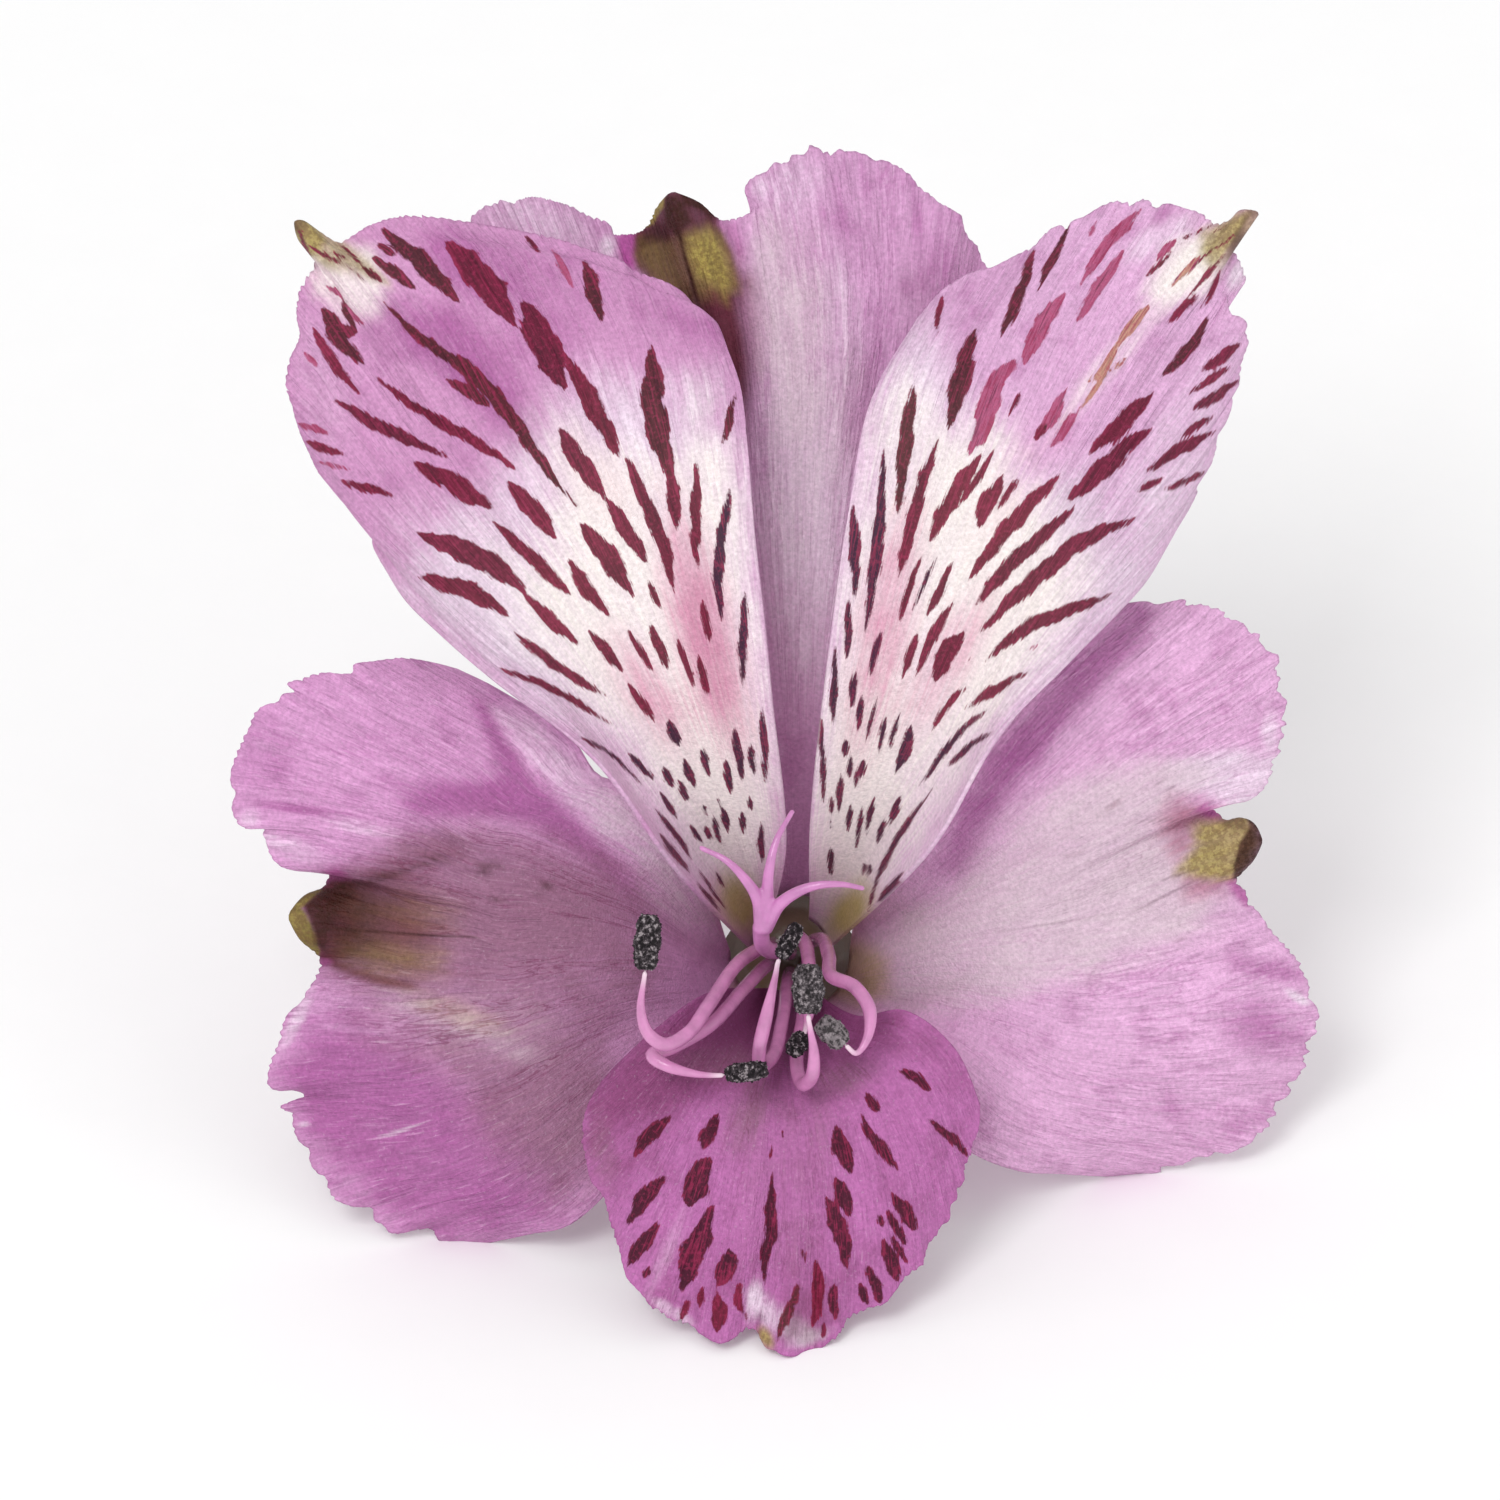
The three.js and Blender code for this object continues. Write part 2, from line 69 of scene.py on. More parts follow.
LAID_DOWN = (
    Matrix.Translation(THROAT)
    @ Euler((math.pi / 2 - FACE_UP, 0, 0)).to_matrix().to_4x4()
    @ Euler((0, 0, ROLL)).to_matrix().to_4x4()
)

# ------------------------------------------------------------------ the tepals' shapes
# How a blade stands forward: it climbs by rise, the faster the greater bend is, and recurves at its
# end. twist tilts it, cup and lip bend its sides, and the waves of a ruffle run along its margin. A
# crease follows the midrib, which ends in a horn.
INNER_FORM = {
    "rise": 22, "bend": 6, "recurve": 4, "twist": 0.5, "cup": 1.6, "lip": -1.8, "ruffle": 0.5, "waves": 7,
    "crease": 1.1, "crease_width": 0.2, "horn": 1.2, "horn_width": 0.07, "horn_from": 0.86,
    "horn_thickness": 0.5,
}
OUTER_FORM = {
    "rise": 15, "bend": 5, "recurve": 5, "cup": 0.8, "lip": 0, "ruffle": 0.6, "waves": 6.5, "crease": 2.2,
    "crease_width": 0.2, "horn": 1.5, "horn_width": 0.07, "horn_from": 0.86, "horn_thickness": 1.3,
}

# Each blade is a patch between four edges across the face, given as points, x and y in turn. side_a
# and side_b run from the claw to the widest part, margin_a from side_a's end to the pointed tip, and
# margin_b from the tip to side_b's end. ring holds the angles of the claw's two sides, grid the
# mesh's points across and along, and seed draws the teeth and pleats. A fold is a ridge or groove:
# its place across from -1 to 1, its width there and its height.
TEPALS = {
    "inner_tepal_left": {
        "grid": (401, 115), "seed": 30, "ring": (172, 119),
        "side_a": (-7.2, 5.3, -12.5, 12.5, -18.9, 17.5, -22.5, 20.7, -24.8, 23, -26.4, 25.4),
        "margin_a": (
            -26.9, 26.5, -26.8, 27.8, -28.5, 29.2, -30.3, 31, -31, 32.4, -31.5, 33.5, -32.1, 35.3,
            -32.5, 37, -32.2, 38.5, -31.6, 39.9, -31.8, 41.3, -31.5, 43.1, -30.6, 44.7, -31.5, 46.1),
        "tip": (-31.8, 47.3),
        "margin_b": (
            -30.3, 46.4, -29.1, 45.9, -27.1, 47, -24.9, 47.6, -22.3, 47.4, -20, 47.1, -17.2, 46.6,
            -14.3, 45.9, -12.3, 45.2, -11, 44.8, -10.3, 44.2, -9.4, 43.8, -8.4, 43.5, -7.6, 43.1,
            -6.9, 42.6),
        "side_b": (
            -0.3, 6.5, -1.2, 16.5, -1.7, 21.8, -2.3, 27.1, -2.7, 32.1, -3.2, 36.4, -4, 38.7, -4.9, 40.8,
            -5.5, 41, -6.3, 41.9),
        "form": {**INNER_FORM, "phase": 0.6},
        "folds": [(-0.3, 0.1, 0.5), (0.45, 0.12, -0.4)],
    },
    "inner_tepal_right": {
        "grid": (401, 115), "seed": 31, "ring": (61, 8),
        "side_a": (1.3, 8, 2.3, 18.1, 3.7, 28.4, 5.2, 35.6, 8.2, 41),
        "margin_a": (
            10, 43, 12, 44.1, 13, 44.3, 14, 44.8, 15, 45.3, 15.8, 45.7, 16.3, 46.3, 17.2, 47, 17.9, 46.8,
            18.2, 47.3, 19, 47.6, 20, 48.2, 21.3, 48.6, 22, 48.3, 22.6, 48.6, 23.1, 48.6, 23.6, 48.1,
            24.2, 48.4, 25.4, 48.1, 26.4, 47.8, 27.3, 47.1, 28.4, 47.3, 29.2, 47.9),
        "tip": (29.95, 47.9),
        "margin_b": (
            29.3, 46.9, 28.4, 45.5, 28.8, 45, 29.3, 43.4, 28.9, 43.1, 28.2, 42.6, 28.4, 41.3, 29, 41.1,
            29.4, 40.7, 29.3, 40.1, 29.5, 39.5, 29.1, 38.4, 28.9, 36.8, 28.5, 36, 28.5, 35.5, 28.1, 34.4,
            27.5, 33.5, 27.4, 32.6, 26.9, 31.3, 26.2, 30.4, 26.2, 29.9, 25.7, 28.8),
        "side_b": (9, 6.8, 13.2, 13.8, 18.2, 19.2, 22.9, 24.2, 24.6, 27),
        "form": {**INNER_FORM, "recurve": 4.5, "twist": -0.5, "phase": 2.4},
        "folds": [(-0.4, 0.12, -0.35), (0.35, 0.1, 0.35)],
    },
    "inner_tepal_lower": {
        "grid": (321, 85), "seed": 33, "ring": (242, 298),
        "side_a": (-5.2, -2.4, -8.7, -4.8, -12.1, -8.1),
        "margin_a": (
            -13.1, -9.8, -13.4, -11.6, -13.1, -13.4, -12.8, -14.6, -12.1, -15.4, -11.6, -17.1,
            -11.1, -18.6, -10.7, -20.2, -10.5, -20.8, -9.4, -22, -9.1, -22.6, -8.7, -22.7, -7.9, -23.4,
            -6.6, -23.7, -5.6, -24.5, -4.5, -25, -3.7, -24.7, -3, -24.1, -2.2, -24.1, -1.7, -24.9,
            -1.4, -25.3),
        "tip": (-0.9, -25.4),
        "margin_b": (
            -0.5, -25.7, 0.2, -25.8, 0.8, -25.5, 2, -25.3, 2.6, -24.8, 3.2, -24.3, 3.5, -23.6, 3.9, -23.2,
            5.1, -22.7, 6.1, -22.4, 6.6, -21.8, 7.5, -20.6, 8.4, -20, 8.9, -18.5, 9.3, -18.2, 9.7, -17.4,
            10.2, -17.1, 10.3, -16.1, 10.7, -15.7, 10.7, -15, 11.1, -14.7, 11.2, -13.5, 11.6, -12.9,
            11.7, -12.2, 12.1, -11.3),
        "side_b": (4.4, -4, 7.4, -3.6, 10.5, -5.9, 12.2, -9.6),
        "form": {
            **INNER_FORM, "rise": 23, "bend": 5, "recurve": 3, "twist": 0, "cup": -1.2, "lip": -1.5,
            "ruffle": 0.4, "waves": 6, "phase": 1.2, "crease": 0.8, "crease_width": 0.18, "horn": 0.6,
            "horn_thickness": 0.3},
        "folds": [
            (-0.17, 0.05, 0.35), (-0.06, 0.05, -0.25), (0.04, 0.04, 0.3), (0.13, 0.04, -0.3),
            (-0.4, 0.05, 0.4), (0.3, 0.06, 0.25),
        ],
    },
    "outer_tepal_left": {
        "grid": (421, 57), "seed": 20, "ring": (179, 233),
        "side_a": (-6.2, 6.6, -10.6, 10.9, -12.4, 11.6, -14.2, 14.1, -18.9, 17.1, -21.5, 18.4),
        "margin_a": (
            -23, 18.8, -24.9, 19.1, -27, 18.9, -28.3, 18.7, -28.2, 18.2, -28.7, 18.1, -30.3, 18.2,
            -31.5, 17.8, -32.5, 17.5, -32, 17, -32.8, 16.8, -33, 16.4, -33.9, 16.1, -34.6, 15.6,
            -35, 14.6, -35.4, 13.7, -35.8, 12.9, -36.1, 12.1, -36.2, 11.2, -35.9, 10.4, -36.1, 9.5,
            -35.8, 8.6, -35.2, 8.15, -34.2, 8.3, -34, 7.7, -33.7, 6.6, -33.1, 5.8, -32.3, 5.5, -31.2, 5.4,
            -30.3, 5.7, -29.7, 5.5, -29.9, 4.6, -30.2, 4.1, -31.3, 3.4),
        "tip": (-32.1, 2.4),
        "margin_b": (
            -31.5, 1.2, -30.8, 0.4, -30.4, -0.2, -30.4, -1, -31.1, -2.2, -31.7, -3.2, -32.4, -3.8,
            -32.9, -4.9, -33.1, -5.9, -33.5, -6.7, -33.75, -7.6, -33.7, -8.6, -33, -8.8, -32, -8.8,
            -31.4, -9.2, -32.1, -9.5, -32.95, -9.9, -32.3, -10.3, -32.2, -10.9, -32.1, -11.6,
            -31.6, -12.3, -31.1, -12.7, -31.1, -13.3, -30.7, -14.1, -30, -14.5, -29.9, -15.2,
            -29.5, -15.8, -28.4, -16.3, -27, -16.5, -26.9, -17.2, -26.4, -17.5, -26, -18, -25.5, -18.1,
            -24.1, -17.8, -23.2, -17.8, -23, -18.1, -22.7, -18.6, -21.2, -18.6),
        "side_b": (-7.2, -7.4, -10.4, -13.6, -14.2, -17.4, -16.8, -18, -19.6, -18.7),
        "form": {**OUTER_FORM, "twist": -2.15, "phase": 0.4},
        "folds": [
            (-0.42, 0.04, -0.6), (-0.62, 0.1, 0.5), (-0.16, 0.04, 0.5), (0.2, 0.05, 0.4),
            (0.55, 0.1, -0.5),
        ],
    },
    "outer_tepal_right": {
        "grid": (421, 57), "seed": 21, "ring": (1, -53),
        "side_a": (4.4, 2.5, 7.2, 6.4, 11.6, 12.2, 16.2, 17.9, 21.8, 22.7),
        "margin_a": (
            23, 22.8, 23.6, 22.6, 24.3, 22.7, 25.6, 22.9, 25.5, 22.5, 26.3, 22.6, 27.3, 22.4, 27.9, 22.2,
            28.1, 21.8, 28.8, 21.6, 29.5, 21.2, 29.6, 20.8, 30.3, 20.7, 30.3, 20.3, 30.9, 19.6,
            31.4, 19.4, 31.6, 19, 31.3, 18.4, 31.6, 17.9, 31.5, 17.3, 31.7, 16.8, 32.1, 16.3, 31.9, 15.6,
            31.8, 15.2, 32.1, 14.9, 31.7, 14.7, 31.9, 14.1, 31.6, 13.8, 31.6, 13, 31.2, 12.6, 31.1, 11.8,
            30.8, 11, 30.2, 10.3, 29.4, 9.9, 28.4, 9.9, 27.5, 10.2, 26.7, 10.6, 26.5, 10.3, 27, 9.7,
            27.6, 9.1, 28.1, 8.6, 29.2, 8.5, 29.8, 8.2),
        "tip": (30.15, 7.5),
        "margin_b": (
            29.7, 6.4, 29.2, 5.6, 28.8, 5, 28.9, 4.5, 29.5, 4, 29.6, 3.2, 30, 3, 31.2, 1.4, 32.6, -0.1,
            33.2, -1.2, 33.6, -2.2, 33.5, -2.8, 33.9, -3.2, 34.25, -4, 34, -4.4, 34.1, -5, 33.7, -5.4,
            33.3, -5.9, 33.6, -6.3, 33.2, -6.7, 33.4, -7.1, 33.1, -7.6, 32.8, -8.1, 32.2, -8.4,
            32.4, -8.9, 32, -9.4, 31.4, -9.6, 31.3, -10, 31.5, -10.4, 30.9, -10.7, 31, -11, 30.6, -11.5,
            30.1, -11.7, 30, -12.1, 29.3, -12.5, 28.3, -12.9, 27.6, -12.8, 27.2, -13.1, 26.3, -13.1,
            25.5, -13.6, 24, -13.8, 23.9, -14.1, 22.7, -14.2),
        "side_b": (7.4, -7, 10.7, -12.1, 14.6, -13.9, 17.4, -14.1, 20.5, -14.4),
        "form": {**OUTER_FORM, "rise": 14.5, "twist": -3.8, "phase": 1.9},
        "folds": [(-0.75, 0.06, -0.5), (-0.1, 0.04, 0.4), (0.25, 0.06, 0.5), (0.6, 0.12, -0.4)],
    },
    "outer_tepal_top": {
        "grid": (421, 57), "seed": 22, "ring": (117, 63),
        "side_a": (-4, 12, -9, 24, -15.6, 36, -20.6, 45.8),
        "margin_a": (
            -20.6, 47.6, -19.7, 48.3, -18.9, 48.6, -18.3, 48.7, -18, 48.5, -17.4, 48.8, -16.6, 48.95,
            -15, 48.6, -13.8, 48.1, -12.7, 47.6, -11.7, 47.2, -11.6, 46.6, -10.9, 46.5, -9.7, 46.65,
            -8.85, 47.4, -8.1, 48.3),
        "tip": (-7.4, 49.1),
        "margin_b": (
            -6.2, 48.4, -5.2, 47.6, -4.6, 47.3, -3.6, 47.4, -2.4, 48, -2.3, 48.6, -2.8, 49, -2.9, 49.6,
            -2.4, 50.2, -1.4, 50.7, -1.1, 51.1, -0.1, 51.2, 0.1, 51.6, 1, 51.8, 1.3, 52.3, 2.1, 51.9,
            2.8, 51.7, 3, 52, 3.7, 51.9, 4.2, 51.9, 5, 51.6, 5.5, 51.3, 6.2, 51.3, 7, 50.9, 7.9, 50.2,
            8.3, 49.6, 9, 49.1, 9.7, 48.5, 10.5, 48.1, 11, 47.7, 11.3, 46.6, 12, 45.8, 12.4, 44.9,
            13.2, 43.6),
        "side_b": (4.2, 12, 8.4, 22, 13.2, 31.5, 14.6, 40),
        "form": {
            **OUTER_FORM, "rise": 15.5, "bend": 6, "recurve": 4, "twist": 0.6, "cup": 0.4, "lip": -0.6,
            "ruffle": 0.5, "waves": 8, "phase": 0.9, "crease": 2, "horn": 2.2, "horn_width": 0.16,
            "horn_from": 0.8},
        "folds": [
            (0.3, 0.05, -0.7), (0.42, 0.04, 0.5), (0.55, 0.03, -0.4), (0.7, 0.05, 0.4),
            (0.82, 0.03, -0.4),
        ],
    },
}

# ------------------------------------------------------------------ the dark streaks
# Nectar guides on the inner tepals. Each is a spindle: its width, which its middle passes by a third,
# then the points of its spine from the outer end inwards, x and y in turn, across the face.
STREAKS = {
    "inner_tepal_left": {
        "rust": [
            (1, -26.4, 46.8, -23.6, 44.4, -21.2, 41.9), (0.35, -26.6, 45.8, -25.4, 45),
            (0.6, -26.9, 45, -24, 42.8), (0.35, -27.7, 44.3, -26.2, 43.3),
            (0.15, -29.1, 45.8, -27.5, 44.3), (0.14, -30.8, 45.8, -29.2, 44.7, -27.2, 43.2),
            (0.16, -31.4, 46.8, -30.9, 45, -30.2, 43.4), (0.12, -29.9, 45.2, -28.4, 44.6),
            (0.45, -3.5, 36.3, -4.4, 32.7), (0.8, -13.3, 44.8, -12.1, 40.5),
            (0.6, -22.2, 37.1, -18.9, 35.2), (1.2, -9, 39.3, -8.7, 34.5, -7.6, 30.5),
            (0.75, -26.3, 42.1, -23.8, 39.7, -20.3, 37.3, -17.5, 34, -15.5, 31, -13.5, 28.6),
            (0.8, -30.2, 41.8, -29.2, 40, -28.6, 38.6), (0.7, -29.7, 40.2, -28.1, 38.4),
            (0.6, -29.4, 39.9, -27.7, 40.3), (0.5, -28.9, 42.2, -28.1, 40.4),
            (0.45, -28.6, 39.4, -27.4, 37.9),
        ],
        "rose": [
            (0.35, -15.4, 45.5, -13.9, 42.8), (0.25, -31.6, 34.2, -29.5, 33.5),
            (0.25, -30.4, 31.8, -28, 31.2), (0.2, -31.4, 38.9, -30.4, 37.9),
            (0.4, -29, 42.1, -27.4, 40.5), (0.3, -30, 43.2, -28.6, 42.2),
        ],
        "crimson": [
            (1, -14.5, 38.7, -12.6, 35.2, -10.9, 31.9), (0.5, -30.7, 40.4, -29.4, 38.2, -27.6, 36),
            (0.6, -27, 37.4, -25.2, 36, -22.5, 34.3, -20.5, 33.2, -17.4, 31.1),
            (0.4, -31.2, 33.1, -28.6, 32.1), (0.45, -28.9, 30.6, -25.4, 29.5),
            (1, -24.4, 31.8, -21.9, 30.4, -19, 28.6), (0.9, -18.3, 30.5, -16.8, 29, -15, 26.7),
            (0.75, -19.3, 28, -17, 25.9, -15.6, 24.6, -14.1, 23.1),
            (0.6, -17.2, 23.3, -15.8, 21.8, -13.5, 19.9), (0.7, -14.3, 25.6, -13.3, 23.9, -11.5, 21.7),
            (0.9, -24, 24.4, -21.1, 23.6, -19.3, 22.7, -18.1, 21.7),
        ],
        "wine": [
            (1.35, -22.2, 46, -19.6, 43.2, -17.7, 40.4), (1.5, -17.4, 42.2, -15.9, 39.3, -14.5, 36.2),
            (0.35, -17.2, 46.4, -16.1, 45.2), (0.65, -29.5, 35.9, -26.5, 34.1, -21.9, 31.9),
            (0.7, -7.75, 31.4, -7.5, 29.2, -7.2, 27.2),
            (1.1, -24.2, 27.2, -20.5, 25.8, -18, 24.2, -17, 23.2),
            (0.9, -15, 34, -13.6, 31.8, -11.9, 29.4), (0.8, -11.9, 29.4, -10.5, 27.3, -9.1, 25.1),
            (0.75, -10.6, 32.2, -9.3, 29.2, -8.1, 26.3, -7.4, 23.2),
            (1, -13.6, 27.9, -11.7, 25.6, -10.05, 23), (0.6, -6, 31.9, -6.1, 27, -5.9, 24.6),
            (0.5, -17.9, 20.8, -14.8, 18.4, -11.8, 16.6), (0.4, -18.7, 18.5, -14.8, 16.8, -11.6, 14.8),
            (0.4, -9.2, 24.2, -8.3, 22.2), (0.5, -5.6, 22.9, -5.15, 20.1), (0.55, -9, 21.4, -7.8, 18.3),
            (0.4, -10.5, 21.1, -8.8, 18.2), (0.6, -13.05, 21, -10.7, 18.2), (0.4, -7.3, 20.5, -6.1, 17.2),
            (0.5, -5.9, 19.4, -5.3, 16.8), (0.45, -10.5, 17.6, -8.7, 15),
        ],
        "ink": [
            (0.55, -3.85, 30.3, -4.5, 26, -4.6, 23.8, -4.3, 21.1),
            (0.3, -13.8, 14, -11.8, 13, -9.5, 10.8), (0.4, -10.6, 13.1, -8.8, 11.2),
            (0.45, -2.87, 23.7, -3.05, 19.8, -2.97, 16.9), (0.35, -1.8, 16.1, -1.65, 13.4, -1.5, 11.1),
            (0.6, -7.9, 15.25, -7.1, 13.4), (0.4, -5.7, 13.6, -5.2, 11.5), (0.45, -3.6, 14.8, -3, 11.2),
            (0.4, -2.55, 13.75, -2.25, 11.5), (0.42, -4.1, 12.7, -3.8, 10.5),
            (0.45, -6.9, 12.8, -6.1, 10.7), (0.5, -8.25, 12.2, -7.6, 10.8), (0.4, -7.2, 11.3, -6.6, 9.9),
            (0.3, -8.6, 10.6, -7.3, 8.65), (0.28, -9, 9.6, -7.1, 7.15, -6.5, 6),
            (0.3, -8.6, 7.8, -6.6, 5.2), (0.3, -6.7, 8.5, -5.7, 7.15), (0.35, -5.7, 9.9, -5.4, 9.1),
            (0.4, -5.6, 8.4, -5.2, 7.5), (0.35, -5.05, 9.2, -4.5, 7.2), (0.2, -4.8, 10.3, -4.45, 9.6),
            (0.45, -4.3, 9.6, -4, 7.95), (0.4, -3.1, 9.4, -3, 7.9), (0.3, -2.6, 10.3, -2.5, 9.4),
            (0.35, -1.85, 8.65, -1.8, 6), (0.2, -6.1, 5.5, -4.3, 2.85), (0.22, -6.2, 4.65, -4.6, 2.65),
            (0.25, -5, 5.5, -4.4, 4.3),
        ],
    },
    "inner_tepal_right": {
        "rust": [
            (0.75, 8, 36.8, 7.5, 33.5, 6.9, 28.2), (0.9, 12, 40.5, 11, 37.2, 10.1, 33.6),
            (0.6, 15.7, 45.4, 14.9, 42.9, 13.4, 39.5), (0.45, 18.1, 47.2, 15.8, 42.5),
            (0.15, 27.4, 47.1, 25.2, 46.1), (0.25, 26.4, 44.8, 24.2, 42.9),
            (0.13, 28.6, 46.4, 26.8, 45, 25, 43.8), (0.12, 28.4, 47, 26.4, 46.2),
            (0.14, 28, 45.2, 26.6, 43.6, 25.6, 42.4), (0.2, 24.8, 45.4, 22.8, 43.6),
            (0.6, 27, 41.3, 26.1, 39.7, 24.7, 38, 23.4, 37.1),
        ],
        "rose": [
            (0.2, 19.8, 47.3, 19.2, 46.2), (0.6, 22.8, 48.2, 20.3, 45.6, 19.2, 43.9, 18.6, 42.9),
            (0.6, 21.6, 45.5, 20.2, 43.4, 18.3, 40.5), (0.35, 24.8, 46.1, 23.4, 44.7),
            (0.85, 17.7, 42.7, 16.5, 41, 15.5, 39.2, 15, 37.9),
            (1, 14.7, 38.4, 13.2, 36.8, 12.6, 34.8, 12.1, 33.5, 11.4, 32), (0.4, 18.7, 35.3, 16.5, 32.4),
            (0.6, 17.8, 36.5, 16.8, 34.6, 15.9, 33.2), (0.2, 16.05, 20, 15.2, 19.6),
        ],
        "tan": [
            (0.6, 23.2, 41.9, 22, 40.6, 21, 39.3), (0.5, 21, 39.3, 20.3, 37.9, 19.1, 36.8),
            (0.3, 26.4, 45, 25.4, 43.9, 24.2, 42.9), (0.3, 21.5, 38.4, 20.2, 37.2, 18.4, 34.8),
        ],
        "crimson": [
            (0.35, 9.8, 42.4, 9.4, 39.7), (0.25, 27.6, 44.3, 26.9, 42.3, 26.1, 41.4),
            (0.4, 26.3, 42.6, 24.1, 40.6), (0.85, 23.5, 36.4, 21.9, 34.8, 20.3, 33.2, 19.1, 32.2),
            (0.45, 16.6, 34.3, 15.7, 33), (0.4, 13.2, 32.6, 12.3, 31.1, 10.8, 29),
            (0.75, 12.4, 32.4, 11, 30.4, 9.85, 28.5, 8.8, 26.4), (0.75, 13.8, 31, 12.6, 28.9, 12, 27.4),
            (0.35, 14.8, 30.9, 13.2, 28.6), (0.75, 17.4, 31.1, 15, 28.6, 13, 26.2, 11.25, 23.9),
            (0.4, 11.5, 17.4, 10, 16, 9.1, 14.5), (0.35, 14.9, 36.4, 14, 34.6),
        ],
        "wine": [
            (0.5, 29.1, 39.5, 26.3, 37.5), (0.35, 28.4, 38, 25.4, 36), (0.55, 29, 37.1, 25.6, 35),
            (0.4, 27.3, 34.8, 24.9, 33.4), (0.6, 27.5, 33.8, 25.2, 32.7, 22.6, 31),
            (0.35, 26.8, 31.2, 24, 29.9), (0.35, 24, 30.8, 22.2, 29.8),
            (0.95, 23.3, 33.9, 21.6, 32.7, 20, 31.1, 17.8, 29.2),
            (0.8, 18.4, 28.9, 16.5, 27.2, 14, 25, 11.8, 22.4),
            (0.85, 22.5, 28.2, 19, 26.8, 15.8, 24.2, 14, 22.6, 12, 20.6),
            (0.7, 20.9, 23.4, 18, 22.2, 15, 20.9, 12.5, 18.8), (0.45, 15.5, 18.3, 13.3, 17.1, 11.3, 15.8),
            (0.95, 11.25, 20.9, 10, 19.4, 9.2, 17.5), (0.15, 11.8, 19.4, 11.5, 19),
            (0.5, 10.6, 22.85, 9.5, 21.3, 8.6, 19.3, 8, 17.9), (0.5, 10.5, 25.4, 9.9, 24.1, 8.7, 21.7),
            (0.4, 8.5, 25.8, 7.7, 24, 6.95, 21.3), (0.45, 8.2, 20.8, 7.7, 19.4, 7.1, 17.8),
            (0.6, 9.6, 33.4, 8.6, 30.8, 7.6, 27, 6.85, 24.1),
        ],
        "ink": [
            (0.5, 4.05, 29.1, 4.1, 25, 4.1, 22.8), (0.4, 3.7, 22.9, 3.6, 19),
            (0.6, 6, 32.7, 5.8, 29, 5.4, 25, 4.7, 20.6), (0.3, 9.5, 25.9, 7.8, 22.1),
            (0.35, 12.8, 15.8, 11.2, 14.5, 10, 13.1, 8.9, 11.5, 8.2, 10.7),
            (0.35, 13.3, 14.4, 11.75, 13.5, 10.2, 12.1), (0.3, 5.8, 20.9, 5.4, 19.5, 5, 17.9),
            (0.4, 4.1, 18.4, 3.9, 15.9), (0.4, 2.85, 20.1, 2.75, 17.7, 2.7, 14.7),
            (0.28, 1.95, 15.2, 2, 13.4, 2.1, 9.8), (0.35, 4.6, 16.9, 4.3, 14.5),
            (0.25, 5.6, 16.9, 4.8, 13.8), (0.3, 6.15, 15.6, 5.65, 13), (0.3, 7.05, 15.75, 6.3, 13.2),
            (0.6, 7.85, 15, 7.3, 13, 6.75, 11.7), (0.35, 3.5, 14, 3.45, 12.8),
            (0.3, 3.85, 13.1, 3.75, 11.5), (0.35, 4.65, 12.7, 4.55, 11.6), (0.2, 4.25, 12, 4.15, 10.8),
            (0.3, 3.2, 11.8, 3.1, 9.2), (0.2, 2.6, 10.3, 2.6, 9.1), (0.2, 2.55, 8.8, 2.55, 8.2),
            (0.3, 3.85, 9.9, 3.75, 8), (0.25, 4.65, 9.7, 4.25, 6.8), (0.3, 5.4, 10.4, 4.9, 7.65),
            (0.4, 7.2, 10.4, 6.5, 8.4), (0.4, 6.15, 8.9, 5.7, 7),
            (0.3, 9.4, 10.9, 8, 8.9, 7, 7.4, 6, 5.5, 5.45, 3.8, 5.1, 2.6),
            (0.35, 7.45, 5.4, 6.3, 3.9, 5.2, 2.3), (0.4, 2.6, 7.1, 2.65, 5.1), (0.25, 4.9, 6, 4.9, 5.1),
            (0.3, 5.3, 5.9, 5.2, 5),
        ],
    },
    "inner_tepal_lower": {
        "plum": [
            (0.7, -7.6, -10.3, -8.7, -11.2, -10.1, -13), (0.7, -4.6, -10.2, -5.3, -11.5, -5.7, -12.5),
            (1.2, -5.1, -13, -5.85, -14.2, -6.6, -16.3), (0.8, -7.9, -14.1, -9.1, -15.3, -10.6, -17.5),
            (1.2, -4.9, -16, -5.6, -17.6, -6.4, -19.5, -7.1, -21.8),
            (0.75, -8.4, -17.1, -9.4, -18.5, -10.6, -20.2), (0.35, -8.9, -20, -9.5, -20.8),
            (0.9, -3.85, -18.7, -4.1, -20.2, -4.7, -21.3),
            (0.7, -1.2, -13.9, -1.3, -16, -1.25, -17.6, -1.7, -19.8, -1.6, -21.4),
            (0.2, -0.55, -11.3, -0.5, -11.8), (0.85, 3, -10.9, 3.05, -12, 3.6, -12.9, 3.85, -14.2),
            (0.8, 2.9, -14.2, 3.3, -15.3, 3.9, -16.8),
            (0.85, 2.3, -15.5, 2.9, -16.9, 3.35, -18.3, 3.6, -20.2),
            (0.58, 4.6, -10.2, 5.2, -11.7, 6.05, -12.6, 6.9, -13.9), (0.5, 4.85, -8.9, 5.8, -10.2),
            (0.55, 7, -7.4, 7.9, -7.8, 9, -8.8), (0.45, 8.8, -10.5, 10.1, -11.6, 11.5, -13),
            (0.7, 6.5, -15.3, 7.2, -16.3, 8.1, -17.8), (0.5, 6.15, -16.3, 7.5, -18.8),
            (0.35, 5.6, -16.6, 5.9, -17.5), (0.4, 6.35, -17.9, 7.5, -19.8),
            (0.7, 5.9, -18.2, 6.5, -19.8, 7, -21.1), (0.65, 4.9, -19.9, 5.35, -20.9, 5.9, -22.5),
